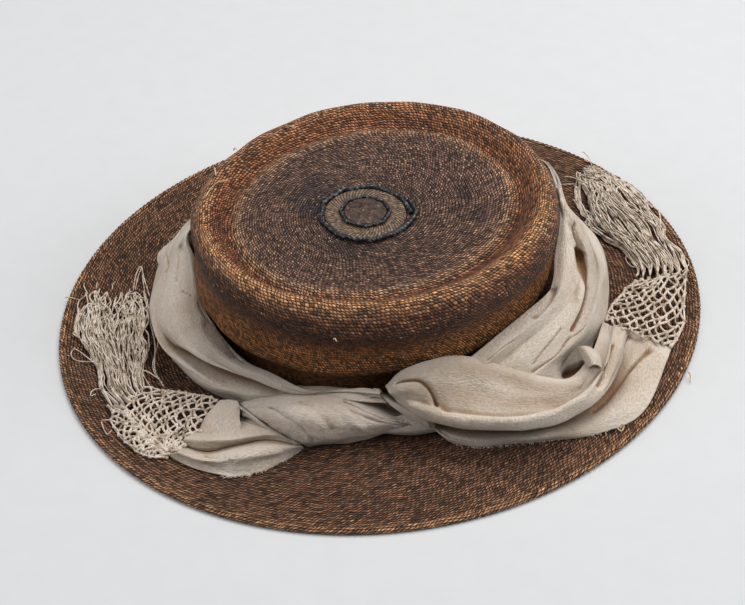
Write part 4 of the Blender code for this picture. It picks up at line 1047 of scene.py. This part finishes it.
BACK_STRIP = {
    "upper": ((294.7, 119, 26), (299.2, 115.1, 27.5), (303.9, 112.3, 28.5), (308.5, 110.5, 29),
        (312.7, 110.7, 28.5)),
    "top": ((295.4, 121.1, 27), (299.9, 118.5, 28.5), (304.6, 116.1, 29), (309.6, 114.5, 28.5),
        (313.9, 114.2, 27.5)),
    "lower": ((295.8, 120.9, 26.5), (301.1, 120.4, 28), (305.5, 120.3, 28), (310.7, 119.5, 27),
        (315.6, 118, 25.5)),
}
MOUTH_STRIP = {
    "tucked": ((311.9, 109.5, 27), (315.6, 108, 23), (319.5, 111, 20), (323, 116, 17), (327, 121, 14)),
    "upper": ((311.8, 110, 29), (315.4, 115.3, 28.5), (318.4, 119.7, 26.5), (322, 123.5, 23.5),
        (325.8, 126.5, 20)),
    "top": ((312.7, 111.9, 30), (315.9, 118.7, 28.5), (318.8, 123.3, 25.5), (322.4, 126, 21),
        (326.2, 127.8, 16)),
    "lower": ((313, 112.2, 28), (315.9, 119.4, 26), (319.1, 122.7, 21), (322.7, 124.8, 16),
        (326.9, 126.7, 10)),
}
UNDER_ROLL = {
    "upper": ((315.1, 124, 15), (318.2, 121.5, 17), (321.7, 120.5, 18), (325.1, 121.5, 17),
        (327.9, 124, 14)),
    "top": ((314.8, 125.8, 9), (318.2, 126.4, 10.5), (321.9, 126.8, 11), (325.3, 126.5, 10.5),
        (328.5, 126.4, 9)),
    "lower": ((314.8, 122.4, 5), (318.6, 123.4, 4.5), (322.6, 124.6, 4.5), (326.1, 124.6, 4.5),
        (329.4, 124.1, 4.5)),
}
pleats = [
    sheet(f"scarf_{name}", fold_lines, along, across, crumple=0.0003, seed=seed)
    for name, fold_lines, along, across, seed in (
        ("pleat_long", PLEAT_LONG, 60, 16, 4.0), ("pleat_short", PLEAT_SHORT, 40, 14, 5.0),
        ("back_strip", BACK_STRIP, 60, 18, 6.0), ("mouth_strip", MOUTH_STRIP, 60, 16, 7.0),
        ("under_roll", UNDER_ROLL, 50, 18, 8.0),
    )
]
# The pleats are folds of one cloth, so they count as one sheet, side by side.
pleat_sizes = np.array([flat_sizes[piece.name] for piece in pleats])
pleat_area = (pleat_sizes[:, 0] * pleat_sizes[:, 1]).sum()
pleats = joined("scarf_knot_pleats", pleats)
flat_sizes["scarf_knot_pleats"] = (pleat_area / pleat_sizes[:, 1].max(), pleat_sizes[:, 1].max())

# %% [markdown]
# ## The left-hand end
# Past the knot this end is folded twice. A corner is turned back under the net, a ridge runs along
# the middle with a hollow below it, where tan shade is painted, and the lowest fold ends in a frayed
# edge on the brim.

# %% Left end fold lines
TAIL_LEFT_LOWER = {
    "valley": ((273.8, 175.8, 4.5), (278.4, 170.6, 5), (281.8, 160, 6), (286.9, 149.5, 8),
        (291.9, 145.6, 8), (295.2, 143.4, 7)),
    "swell": ((274.6, 180.5, 7), (280.1, 176.3, 9), (283.8, 167.6, 11), (288.5, 158.9, 13),
        (292.5, 151.6, 11), (295.7, 145, 8)),
    "ridge": ((275, 184.1, 8), (280.6, 181.9, 10), (285.1, 174.2, 12), (289.3, 165.1, 13),
        (292.5, 154.4, 10), (295.9, 144.2, 7)),
    "dip": ((274.2, 185, 6), (279.7, 182.3, 6), (285.1, 175.7, 7), (289.1, 165.9, 8), (292.4, 155.2, 7),
        (295.9, 143.1, 6)),
    "edge": ((273, 186.6, 3.8), (279, 185.1, 3.8), (285.4, 179.3, 3.8), (290, 168.8, 3.8), (293, 155, 3.8),
        (295.9, 141.5, 4.2)),
}
TAIL_LEFT_RIDGE = {
    "hidden": ((273.2, 160.9, 7), (276.7, 158.5, 8), (278.8, 153, 8), (-81.4, 138.6, 8), (-78.3, 136.8, 9),
        (287, 138.2, 9), (292.9, 141.2, 7)),
    "brow": ((273.7, 169.6, 9), (277.3, 167.1, 11), (280.6, 160.5, 12), (283.2, 150.9, 12),
        (285.8, 144.5, 12), (288.8, 141.3, 11), (294, 143.1, 8)),
    "ridge": ((273.9, 174.9, 9.5), (277.6, 170.8, 12), (281.9, 163.5, 13.5), (285.1, 154.2, 13.5),
        (287.7, 147.9, 13), (290.3, 143.6, 11), (294.6, 143.9, 8)),
    "drop": ((273.9, 175.9, 7), (277.8, 170.8, 8), (281.8, 161.4, 9), (285.8, 152.1, 10), (288.5, 147, 10),
        (291.4, 144.2, 9), (295, 143.3, 7)),
    "valley": ((273.8, 175.8, 4.5), (278.3, 171, 5), (281.8, 160.6, 6), (286.1, 150.5, 7.5),
        (289.4, 146.7, 8), (292.3, 144.7, 7.5), (295.2, 143, 6.5)),
}
TAIL_LEFT_CORNER = {
    "net_side": ((273.8, 162.7, 7), (272.7, 156.1, 10), (272.2, 148.3, 12.5), (272.3, 141.3, 14)),
    "first": ((275.8, 162.6, 8), (274.7, 155.8, 11.5), (274.4, 149, 15), (274.1, 139.8, 16)),
    "second": ((278.5, 161.5, 9.5), (277.2, 154.6, 13), (276.3, 147.5, 16), (276.1, 137.2, 17)),
    "third": ((280.7, 158.2, 10), (279.3, 152.4, 13), (278.3, 146.3, 16), (277.7, 139, 16.5)),
    "knot_side": ((282.7, 153, 9.5), (281.4, 149.1, 12.5), (279.7, 144.3, 14.5), (278.1, 139, 15.5)),
}
TAIL_LEFT_LOWER_PRESSED = {
    "swell_one": (1.2, 2.0, (0.19, 0.22), (0.32, 0.43), (0.41, 0.59)),
    "swell_two": (-0.8, 2.5, (0.465, 0.4), (0.59, 0.41), (0.79, 0.51)),
    "edge_one": (0.8, 1.5, (0.235, 0.67), (0.395, 0.9), (0.54, 0.93)),
}

# %% Left end
# Shade is painted into the valleys of both folds.
left_lower = sheet(
    "scarf_left_lower", TAIL_LEFT_LOWER, 130, 54, crumple=0.0007, seed=9.0,
    marks=TAIL_LEFT_LOWER_PRESSED, painted_shade={"valley": 0.8},
)
left_ridge = sheet(
    "scarf_left_ridge", TAIL_LEFT_RIDGE, 110, 40, crumple=0.0005, seed=10.0, painted_shade={"valley": 0.8},
)
left_corner = sheet(
    "scarf_left_corner", TAIL_LEFT_CORNER, 44, 44, crumple=0.0012, size=0.007, seed=11.0, thick=0.0014,
)
for piece in (left_lower, left_ridge, left_corner):
    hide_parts("scarf_tail_left")

# %% [markdown]
# ## Cotton thread
# The nets and fringes are of the scarf's own cotton. A thread of the fringes is about 0.9 mm thick,
# and a cord of the nets about 1.5 mm. Both are a little darker and duller than the cloth, with a fine
# twist that only shows as a broken highlight.

# %% Thread material
cotton, tree, shader = new_material("twisted_cotton_thread", 0.8, 0.3)
where = node(tree, "TexCoord").outputs["Object"]
ply = node(tree, "TexNoise", {"Vector": where, "Scale": 900.0, "Detail": 2.0})
aged = node(tree, "TexNoise", {"Vector": where, "Scale": 200.0, "Detail": 3.0})
both = node(tree, "Math", {0: ply, 1: 0.5, 2: aged}, operation="MULTIPLY_ADD")
tone = node(tree, "ValToRGB", {0: both}, stops=[(0.55, "#8f7c68"), (0.72, "#cfc0b0"), (0.90, "#e8ddd1")])
bump = node(tree, "Bump", {"Strength": 0.5, "Distance": 0.0002, "Height": ply})
fill(shader, {"Base Color": tone, "Normal": bump})
THREAD = 0.00047         # radius of a thread
# The lowest middle lines of what lies on the brim: a knot or a pile, one thread, and a frayed fibre.
PILE_FLOOR = 0.0036
THREAD_FLOOR = 0.0033
FRAY_FLOOR = 0.0031


# %% [markdown]
# ## The nets
# Each net is a mesh of small diamonds with a knot at every crossing, like the start of a macrame
# fringe. Four edge lines give its outline, and the diamonds are spread evenly between them.

# %% Net edges
NET_RIGHT = {
    "cloth": ((34.4, 138.1, 10), (30.7, 149, 12), (30.2, 160.9, 11), (29.4, 171.9, 8), (30.7, 180.4, 5)),
    "threads": ((52.3, 160.5, 4), (51.7, 168.5, 6), (52.8, 177.1, 6.5), (53.9, 186.5, 6), (54.2, 195.6, 4)),
    "inner": ((34.4, 138.1, 10), (41.3, 142.2, 6), (46.6, 148.6, 4), (49.8, 154.8, 4), (52.3, 160.5, 4)),
    "outer": ((30.7, 180.4, 5), (35, 184.2, 4), (41.3, 187.9, 4), (48.3, 190.6, 4), (54.2, 195.6, 4)),
}
NET_LEFT = {
    "cloth": ((272, 141.6, 14), (272.3, 149.5, 12), (272.5, 156.5, 10), (273.9, 163.8, 8),
        (-85.7, 171.5, 7), (-85.5, 177.2, 6), (-86.3, 182.8, 4.5)),
    "threads": ((-105.3, 166.1, 6), (-103.1, 175, 8), (-101, 181.5, 9), (-98.1, 186.3, 9),
        (-95.1, 188.6, 8), (-91.3, 189.4, 7), (-88.4, 187.3, 4)),
    "inner": ((272, 141.6, 14), (265.9, 143.4, 9), (262, 149.3, 8), (258.8, 157.3, 8), (-105.3, 166.1, 6)),
    "outer": ((-86.3, 182.8, 4.5), (-86.7, 184.5, 4), (-87.1, 185.7, 4), (-87.9, 186.7, 4),
        (-88.4, 187.3, 4)),
}
NET_LEFT_FOLD = {
    "cloth": ((272.7, 185.7, 6), (272.9, 186.2, 5), (273.2, 186.6, 4.2), (273.4, 188.3, 3.8)),
    "threads": ((258.7, 185.8, 9), (258, 187.2, 8), (257.3, 188.1, 6.5), (256.1, 188.6, 4)),
    "inner": ((272.7, 185.7, 6), (268.8, 185.9, 8), (264.4, 185.4, 9), (258.7, 185.8, 9)),
    "outer": ((273.4, 188.3, 3.8), (270.4, 194.3, 3.8), (266.3, 198, 3.8), (261.2, 194.2, 3.8),
        (256.1, 188.6, 4)),
}


# %% Nets
def between(edges, u, v):
    """A point between four edges. u runs from inner to outer and v from cloth to threads."""
    cloth, loose, inner, outer = edges

    def on(edge, t):
        return edge[int(round(min(max(t, 0.0), 1.0) * (len(edge) - 1)))]

    blend = (1 - v) * on(cloth, u) + v * on(loose, u) + (1 - u) * on(inner, v) + u * on(outer, v)
    cloth_ends = (1 - u) * (1 - v) * cloth[0] + u * (1 - v) * cloth[-1]
    return blend - (cloth_ends + (1 - u) * v * loose[0] + u * v * loose[-1])


def net(name, edge_rows, across, along, rise, seed, thick=0.00082, knot=0.0015):
    """Knotted diamonds: across and along are counts of diamonds."""
    edges = [line(edge_rows[key], 241) for key in ("cloth", "threads", "inner", "outer")]
    random = np.random.default_rng(seed)
    spots = {}
    for j in range(2 * along + 1):
        for i in range(2 * across + 1):
            if (i + j) % 2 == 0:
                u, v = i / (2 * across), j / (2 * along)
                spot = between(edges, u, v)
                spot = spot + random.normal(0, 0.00075, 3) * (1, 1, 0.5)
                spot[2] += rise * math.sin(math.pi * u) * math.sin(math.pi * v) ** 0.5
                spot[2] = max(spot[2], PILE_FLOOR)
                spots[i, j] = spot
    paths = []
    for (i, j), start in spots.items():
        for step in (-1, 1):
            end = spots.get((i + step, j + 1))
            if end is None:
                continue
            t = np.linspace(0, 1, 6)[:, None]
            bow = np.sin(math.pi * t) * step * np.array([[0.0, 0.0, 1.0]])
            aside = np.cross(end - start, (0, 0, 1.0))
            aside = aside / max(np.linalg.norm(aside), 1e-9) * random.normal(0.00045, 0.0003) * step
            paths.append(start + (end - start) * t + np.sin(math.pi * t) * aside + bow * 0.00030)
    for i in (0, 2 * across):
        for j in range(0, 2 * along - 1):
            if (i, j) in spots and (i, j + 2) in spots:
                t = np.linspace(0, 1, 6)[:, None]
                paths.append(spots[i, j] + (spots[i, j + 2] - spots[i, j]) * t)
    strands = threads(name, paths, random.uniform(0.75, 1.2, len(paths)) * thick, cotton)
    knots = knot_balls(name + "_knots", list(spots.values()), knot, random)
    return joined(name, [strands, knots])


def knot_balls(name, spots, radius, random):
    """Small lumpy knots, as one mesh of closed rings."""
    bands, sides = 5, 7
    polar = np.linspace(0.12, math.pi - 0.12, bands)
    angle = turns(sides)
    ball = np.stack([
        np.sin(polar)[:, None] * np.cos(angle), np.sin(polar)[:, None] * np.sin(angle),
        np.repeat(np.cos(polar)[:, None], sides, axis=1),
    ], axis=-1).reshape(-1, 3)
    points, quads = [], []
    for number, spot in enumerate(spots):
        squash = random.uniform(0.75, 1.2, 3) * (1.0, 1.0, 0.8)
        points.append(spot + ball * squash * radius)
        quads.append(grid_quads(bands, sides, wrap=True) + number * bands * sides)
    return add_mesh(name, np.concatenate(points), np.concatenate(quads), material=cotton)


net_right = net("net_right_knotted", NET_RIGHT, 7, 7, 0.0015, 21)
net_left = net("net_left_knotted", NET_LEFT, 8, 9, 0.0010, 22, thick=0.00076, knot=0.0014)
net_left_fold = net("net_left_folded_edge", NET_LEFT_FOLD, 3, 11, 0.0008, 23, thick=0.00072, knot=0.0013)
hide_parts("net_right")
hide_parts("net_left")
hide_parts("net_left")
print("nets:", [triangles(o) for o in (net_right, net_left, net_left_fold)], "triangles")

# %% [markdown]
# ## The fringes
# The real fringes have more threads than can be counted. Here 84 run out of the right net and 100 out
# of the left one. They lie over one another in waves, and about half turn back on themselves in loops.
# Three guide lines give the inner side, the top and the outer side of the pile, and each thread
# wanders between them.

# %% Fringe guides
FRINGE_RIGHT = {
    "inner": ((53.6, 162.2, 4), (55.7, 165.1, 4), (59.6, 164, 4), (64.2, 162.1, 4), (68.7, 156.7, 4),
        (73.4, 155.3, 4), (78.4, 158.5, 4), (83.6, 165.9, 4), (87.7, 175.8, 4), (90.9, 192.3, 4)),
    "middle": ((51.4, 176.3, 10), (55.3, 178.9, 10), (59.1, 177.4, 11), (63.2, 174.8, 12),
        (68.6, 173.7, 12), (74, 174.8, 12), (79.7, 179, 11), (84.5, 185.9, 9), (87.7, 190, 8),
        (91, 195.9, 6)),
    "outer": ((53.7, 195, 4), (55.2, 197.1, 4), (59.6, 198.9, 4), (64.1, 198.4, 4), (69, 203.8, 4),
        (74.3, 206, 4), (80.2, 207.1, 4), (85.1, 206.7, 4), (89.4, 205.4, 4), (91.3, 203.7, 4)),
}
FRINGE_LEFT = {
    "inner": ((255.5, 165.3, 6), (249.8, 159.2, 6), (244.4, 151.5, 6), (237.4, 146.8, 6), (229.3, 146.9, 5),
        (222.7, 152.5, 4), (221, 158.3, 4)),
    "middle": ((258.8, 176.5, 10), (254.2, 176.6, 11), (249.7, 173.3, 12), (243.9, 171.2, 13),
        (237, 170.9, 12), (229.8, 170.1, 10), (222.6, 171.1, 6)),
    "outer": ((257, 188.4, 6), (250.7, 187.5, 4), (246.2, 184.1, 4), (239.9, 186, 4), (234.3, 192.1, 4),
        (225.6, 191.1, 4), (220.6, 183.4, 4)),
}


# %% Fringes
GUIDE_STEPS = 160
THREAD_POINTS = 84


def wave(random, t):
    """A line that wanders: four waves, each shorter and smaller than the last."""
    sizes, phases = random.normal(0, (0.70, 0.55, 0.15, 0.05)), random.uniform(0, 6, 4)
    long_one, middle_one, short_one, tiny_one = (
        size * np.sin(turns * t + phase) for size, turns, phase in zip(sizes, (2.1, 5.5, 14.0, 33.0), phases)
    )
    return long_one * t + (middle_one + short_one) * np.sqrt(t) + tiny_one


def fringe(name, guide_rows, count, knots, seed, looping, shortest, wander, together, parting=None):
    """Threads that leave a row of knots and follow three guides.

    looping is the share of threads that turn back, and together is how much of its wandering a
    thread shares with its neighbours. parting is a place where the pile opens: how far along it and
    how far across, then half its length and half its width, all as shares.
    """
    inner, middle, outer = (line(guide_rows[key], GUIDE_STEPS + 1) for key in ("inner", "middle", "outer"))
    random = np.random.default_rng(seed)
    paths = []
    for number in range(count):
        start = (number + 0.5) / count + random.normal(0, 0.01)
        knot = round(start * knots) / knots
        reach = random.uniform(shortest, 1.0)
        tau = np.linspace(0, 1, THREAD_POINTS)
        turns_back = random.random() < looping
        if turns_back:
            top = random.uniform(0.68, 0.82)
            back = random.uniform(0.10, 0.30)
            out = np.sin(tau / top * math.pi / 2) ** 0.9
            returned = 1 - back * (1 - np.cos((tau - top) / (1 - top) * math.pi)) / 2
            t = np.where(tau < top, out, returned)
            aside = random.choice((-1, 1)) * random.uniform(0.10, 0.26)
            shift = aside / (1 + np.exp(-(tau - top) * 14))
        else:
            t = tau
            shift = 0.0
        t = t * reach
        # The threads of one knot keep together as a lock, so they share most of their wandering.
        lock = wave(np.random.default_rng(1000 * seed + round(start * knots)), t)
        waves = wander * (together * lock + (1.3 - together) * wave(random, t))
        spread = 1 - np.exp(-((t / 0.10) ** 2))
        s = knot + (0.7 * (start - knot) + waves + shift) * spread
        # A thread that would leave the pile turns back into it.
        s = np.abs(s)
        s = 1 - np.abs(1 - s)
        if parting:
            along, across, half_long, half_wide = parting
            open_here = half_wide * np.exp(-(((t - along) / half_long) ** 2))
            side = 1 if s[np.argmin(np.abs(t - along))] > across else -1
            held = np.where(open_here > 0.004, 1, side * np.sign(s - across))
            s = across + side * np.sqrt((s - across) ** 2 + open_here**2) * held
        s = np.clip(s, 0.0, 1.0)[:, None]
        at = t * GUIDE_STEPS
        low = np.minimum(at.astype(int), GUIDE_STEPS - 1)
        part = (at - low)[:, None]
        a, b, c = (g[low] * (1 - part) + g[low + 1] * part for g in (inner, middle, outer))
        # A smooth arch through the three guides, so that the pile is highest in its middle.
        spot = (1 - s) * (1 - 2 * s) * a + 4 * s * (1 - s) * b + s * (2 * s - 1) * c
        layer = random.uniform(0.05, 1.0) ** 0.8
        floor = PILE_FLOOR + 0.0006 * random.random()
        spot[:, 2] = floor + (np.maximum(spot[:, 2], floor) - floor) * layer
        spot[:, 2] += 0.0006 * np.sin(9 * t + random.uniform(0, 6)) * layer
        kink, curl_up = (
            size * np.array([
                np.sin(x_turns * t + random.uniform(0, 6)), np.cos(y_turns * t + random.uniform(0, 6)), 0 * t,
            ]).T for size, x_turns, y_turns in ((0.00034, 62, 53), (0.0055, 24, 22))
        )
        kink = kink * random.uniform(0.3, 1.3) * (0.35 + t)[:, None]
        spot += kink + curl_up * (random.uniform(0, 1) * t**3)[:, None]
        spot[:, 2] = np.maximum(spot[:, 2], THREAD_FLOOR)
        paths.append(spot)
    return threads(name, paths, random.uniform(0.8, 1.15, len(paths)) * THREAD, cotton)


fringe_right = fringe(
    "fringe_right_threads", FRINGE_RIGHT, 84, 7, 31, 0.50, 0.60, 0.27, 0.70, (0.76, 0.17, 0.10, 0.10)
)
fringe_left = fringe("fringe_left_threads", FRINGE_LEFT, 100, 8, 33, 0.50, 0.66, 0.25, 0.60)
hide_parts("fringe_right")
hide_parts("fringe_left")
print("fringes:", triangles(fringe_right), "and", triangles(fringe_left), "triangles")

# %% [markdown]
# ## Loose ends
# Single threads have slipped out of the fringes, a few straws have lifted from the plait, and the
# torn edges of the cloth are frayed. They are small, but they make the hat look used.

# %% Stray threads
STRAYS_LEFT = {
    "spur": ((221.6, 158, 4.5), (215.7, 159.4, 4.5), (212.5, 158.7, 4.5), (217.2, 152.9, 4.5),
        (223.3, 146.9, 4.5)),
    "spur_inner": ((221, 157, 4), (215.8, 157.8, 4), (213.1, 157.8, 4), (217.1, 154, 4), (225.1, 148.7, 5)),
    "strand": ((257.3, 154.3, 5), (250.7, 153.7, 7), (242, 143.8, 7), (232.8, 144.6, 5), (223.1, 149.3, 4)),
    "strand_two": ((257.1, 154.9, 6), (252.1, 153.8, 8), (243.7, 146.6, 8), (233.5, 145.9, 5),
        (220.8, 152, 4)),
    "knot_loop": ((256.2, 153.7, 6), (255.2, 156.6, 10), (252.3, 159.6, 10), (252.1, 161.5, 8),
        (255.6, 161.5, 6)),
    "left_loop": ((245.1, 183.1, 5), (241.9, 187.1, 4), (238.8, 193.4, 4), (240.3, 196.5, 4),
        (242.2, 193.4, 4), (243.9, 183.4, 5)),
    "low_loop": ((253.7, 183.6, 5), (251, 188.4, 4), (251, 192.8, 4), (252.1, 194.9, 4), (252, 191.6, 4)),
    "hook": ((259.7, 194.5, 5), (258.9, 198.3, 4), (260.3, 200.3, 4), (262.2, 201.5, 4), (262.4, 198.4, 6)),
    "wisp": ((223.2, 185.7, 5), (220.7, 189.6, 4), (219.5, 190.4, 4)),
    "wisp_two": ((221.6, 181.4, 5), (220, 181.7, 5), (219.7, 181.1, 6)),
    "wisp_three": ((222.1, 170.9, 6), (220.1, 171.3, 6), (220.2, 169.8, 8)),
    "wisp_four": ((224.7, 190.2, 4), (223.9, 195.6, 3.5), (223.7, 200.4, 3.5)),
}
STRAYS_RIGHT = {
    "hook_top": ((89.1, 198.9, 6), (91.7, 206.6, 6), (93.6, 209.7, 7), (93.8, 206.8, 9)),
    "wisp": ((89.2, 186, 4), (91.1, 184.9, 4), (92.6, 180.2, 4)),
    "wisp_two": ((88.7, 181.1, 4), (90, 176.8, 4), (91.2, 172.5, 4)),
    "wisp_three": ((88.7, 184.1, 5), (90.3, 183.8, 5), (92, 181.8, 5)),
    "side_loop": ((62.2, 165.9, 4), (61.1, 162.4, 4), (59.3, 161.2, 4), (57.4, 162.8, 4), (57.3, 166.7, 4),
        (59.2, 169.2, 5)),
    "outer_hook": ((58.4, 198.9, 4), (56.2, 199.6, 4), (54.8, 196.2, 4), (53.4, 192.1, 5)),
    "top": ((89.5, 207.9, 5), (87.7, 206.7, 4), (85.8, 205.4, 4)),
}
strays_left, strays_right = (
    threads(name, [line(rows, 26) for rows in strays.values()], radius, cotton)
    for name, strays, radius in (
        ("fringe_left_strays", STRAYS_LEFT, 0.00036), ("fringe_right_strays", STRAYS_RIGHT, 0.00030),
    )
)
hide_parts("fringe_left")
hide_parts("fringe_right")

# %% Loose straws
LOOSE_STRAWS = {
    "left_crest": ((-155.3, 111.6, 79), (-148.2, 105.6, 87.2), (-143.4, 102.7, 89.2)),
    "left_slope": ((-132.4, 108.9, 85), (-138.1, 101.7, 90.2), (-140.9, 93.9, 90.2)),
    "far_left": ((175.5, 95.4, 85), (176, 89.2, 90.2), (175, 85.1, 90.2)),
    "far_left_two": ((-175.3, 94.4, 86), (-175.7, 89.8, 90.2), (-176.2, 86.5, 89.7)),
    "far": ((163.9, 93.5, 87), (163.2, 89.9, 91.2), (162.6, 87.7, 90.7)),
    "far_two": ((158.9, 95.8, 87), (159.2, 91.8, 91.2), (159.2, 88.5, 91)),
    "left_rim": ((-163.1, 105.7, 84), (-161, 102, 89.2), (-159.9, 99.6, 89.7)),
    "front": ((-59.2, 118, 69.5), (-58.6, 119, 71.2), (-57.9, 120.5, 70.2)),
    "brim_thread": ((25.2, 193.8, 3), (24.2, 196.3, 3), (23, 197.2, 1)),
    "brim_loop": ((4.7, 175.8, 3.5), (3.9, 181.7, 4.2), (5.1, 181.2, 4.5), (5.6, 178.7, 5)),
}
# Dry split leaf, pale where it broke away from the stained face.
dry, tree, shader = new_material("dry_palm_leaf", 0.6, 0.35)
where = node(tree, "TexCoord").outputs["Object"]
fibre = node(tree, "TexNoise", {"Vector": where, "Scale": 300.0, "Detail": 2.0})
fill(shader, {"Base Color": node(tree, "ValToRGB", {0: fibre}, stops=[(0.35, "#b08f66"), (0.6, "#e0cba6")])})
straws = threads("loose_straws", [line(rows, 12) for rows in LOOSE_STRAWS.values()], 0.00040, dry)
print("loose ends:", [triangles(o) for o in (strays_left, strays_right, straws)], "triangles")


# %% Frayed edges
def frayed(name, edge_rows, first, last, count, longest, seed):
    """Short fibres that stick out of a torn edge between two places along it."""
    steps = 400
    edge = line(edge_rows, steps)
    random = np.random.default_rng(seed)
    paths = []
    for _ in range(count):
        k = int(random.uniform(first, last) * (steps - 2))
        spot, along = edge[k], edge[k + 1] - edge[k]
        along = along / max(np.linalg.norm(along), 1e-9)
        outward = np.array([spot[0], spot[1], 0.0]) / math.hypot(spot[0], spot[1])
        lean = outward + along * random.normal(0, 0.7) + np.array([0, 0, random.uniform(-0.3, 0.2)])
        length = random.uniform(0.3, 1.0) * longest
        t = np.linspace(0, 1, 5)[:, None]
        bend = np.cross(lean, (0, 0, 1)) * random.normal(0, 0.35) * length * t**2
        path = spot + lean * length * t + bend
        path[:, 2] = np.maximum(path[:, 2], FRAY_FLOOR)
        paths.append(path)
    return threads(name, paths, 0.00014, cotton, sides=4)


fray_right = frayed("fray_right_edge", TAIL_RIGHT["edge"], 0.22, 0.82, 150, 0.0020, 41)
fray_left = frayed("fray_left_edge", TAIL_LEFT_LOWER["edge"], 0.35, 0.98, 120, 0.0022, 42)
fray_band = frayed("fray_band_tear", BAND["roll_three"], 0.535, 0.60, 40, 0.0030, 43)

# %% Everything rides on the hat
cloth_pieces = [band, torn_bit, tail_right, curl, twist, left_lower, left_ridge, left_corner, pleats]
thread_pieces = [net_right, net_left, net_left_fold, fringe_right, fringe_left, strays_left, strays_right]
for piece in cloth_pieces + [fray_right, fray_left, fray_band]:
    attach(piece, "root")
for piece in thread_pieces:
    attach(piece, "root")
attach(straws, "root")

# %% [markdown]
# ## The scarf as one strip
# The whole scarf is one strip, gathered by its folds. Each sheet keeps its width and length, across and
# along its fold lines, in flat_sizes.

# %% [markdown]
# ## Table, light and camera
# The hat lies on a plain pale table. A large soft lamp stands high behind it and two weaker ones light
# its sides, so its shadow is short and falls towards the camera. The lens is a long one, which keeps
# the oval of the brim honest.

# %% Table
ground, tree, shader = new_material("matt_pale_board", 0.9, 0.2)
where = node(tree, "TexCoord").outputs["Object"]
speck = node(tree, "TexNoise", {"Vector": where, "Scale": 60.0, "Detail": 2.0})
fill(shader, {"Base Color": node(tree, "ValToRGB", {0: speck}, stops=[(0.3, "#d3d6da"), (0.7, "#d5d8dc")])})
TABLE_HALF = 4.0
TABLE_TOP = -0.0002
corners = [(x * TABLE_HALF, y * TABLE_HALF, TABLE_TOP) for x, y in ((-1, -1), (1, -1), (1, 1), (-1, 1))]
floor_piece = add_mesh("table_top", corners, [(0, 1, 2, 3)], material=ground, smooth=False)

# %% Light
scene = bpy.context.scene
scene.view_settings.view_transform = "Standard"
world = scene.world or bpy.data.worlds.new("room")
scene.world = world
world.use_nodes = True
fill(world.node_tree.nodes["Background"], {"Color": "#eef2f6", "Strength": 0.17})
VIEW_AZIMUTH = 45.0


def aim(made, azimuth, elevation, distance, middle):
    """Sets a lamp or the camera down round the hat, facing the middle. Azimuth 0 is along -Y."""
    a, e = math.radians(azimuth), math.radians(elevation)
    back = Vector((math.sin(a) * math.cos(e), -math.cos(a) * math.cos(e), math.sin(e)))
    scene.collection.objects.link(made)
    made.location = middle + back * distance
    made.rotation_mode = "QUATERNION"
    made.rotation_quaternion = back.to_track_quat("Z", "Y")


for name, turn, elevation, distance, size, power, colour in (
    ("key", 155, 64, 2.2, 1.5, 33.0, "#fffaf4"),
    ("left_fill", -72, 38, 2.0, 1.3, 14.5, "#fffdfa"),
    ("right_fill", 80, 42, 2.0, 1.3, 20.0, "#fffdfa"),
):
    data = bpy.data.lights.new(name, "AREA")
    data.shape = "SQUARE"
    data.size = size
    data.energy = power
    data.color = linear(colour)[:3]
    aim(bpy.data.objects.new(name, data), VIEW_AZIMUTH + turn, elevation, distance, Vector())

# %% Camera
VIEW_ELEVATION = 39.2
VIEW_DISTANCE = 1.25
camera_data = bpy.data.cameras.new("camera")
camera_data.lens = 96.1
camera_data.sensor_width = 36.0
camera_data.clip_start = 0.05
camera_data.clip_end = 20.0
camera = bpy.data.objects.new("camera", camera_data)
aim(camera, VIEW_AZIMUTH, VIEW_ELEVATION, VIEW_DISTANCE, Vector((-0.00742, -0.00246, 0.0)))
scene.camera = camera

# %% [markdown]
# ## Triangle count
# The triangles of every mesh that renders are counted, and the sum and the largest are printed.

# %% Triangle counts
graph = bpy.context.evaluated_depsgraph_get()
counts = {}
for made in bpy.context.scene.objects:
    if made.type == "MESH" and not made.hide_render:
        shown = made.evaluated_get(graph).to_mesh()
        shown.calc_loop_triangles()
        counts[made.name] = len(shown.loop_triangles)
        made.evaluated_get(graph).to_mesh_clear()
print("triangles in all:", sum(counts.values()), "most in", max(counts, key=counts.get), max(counts.values()))
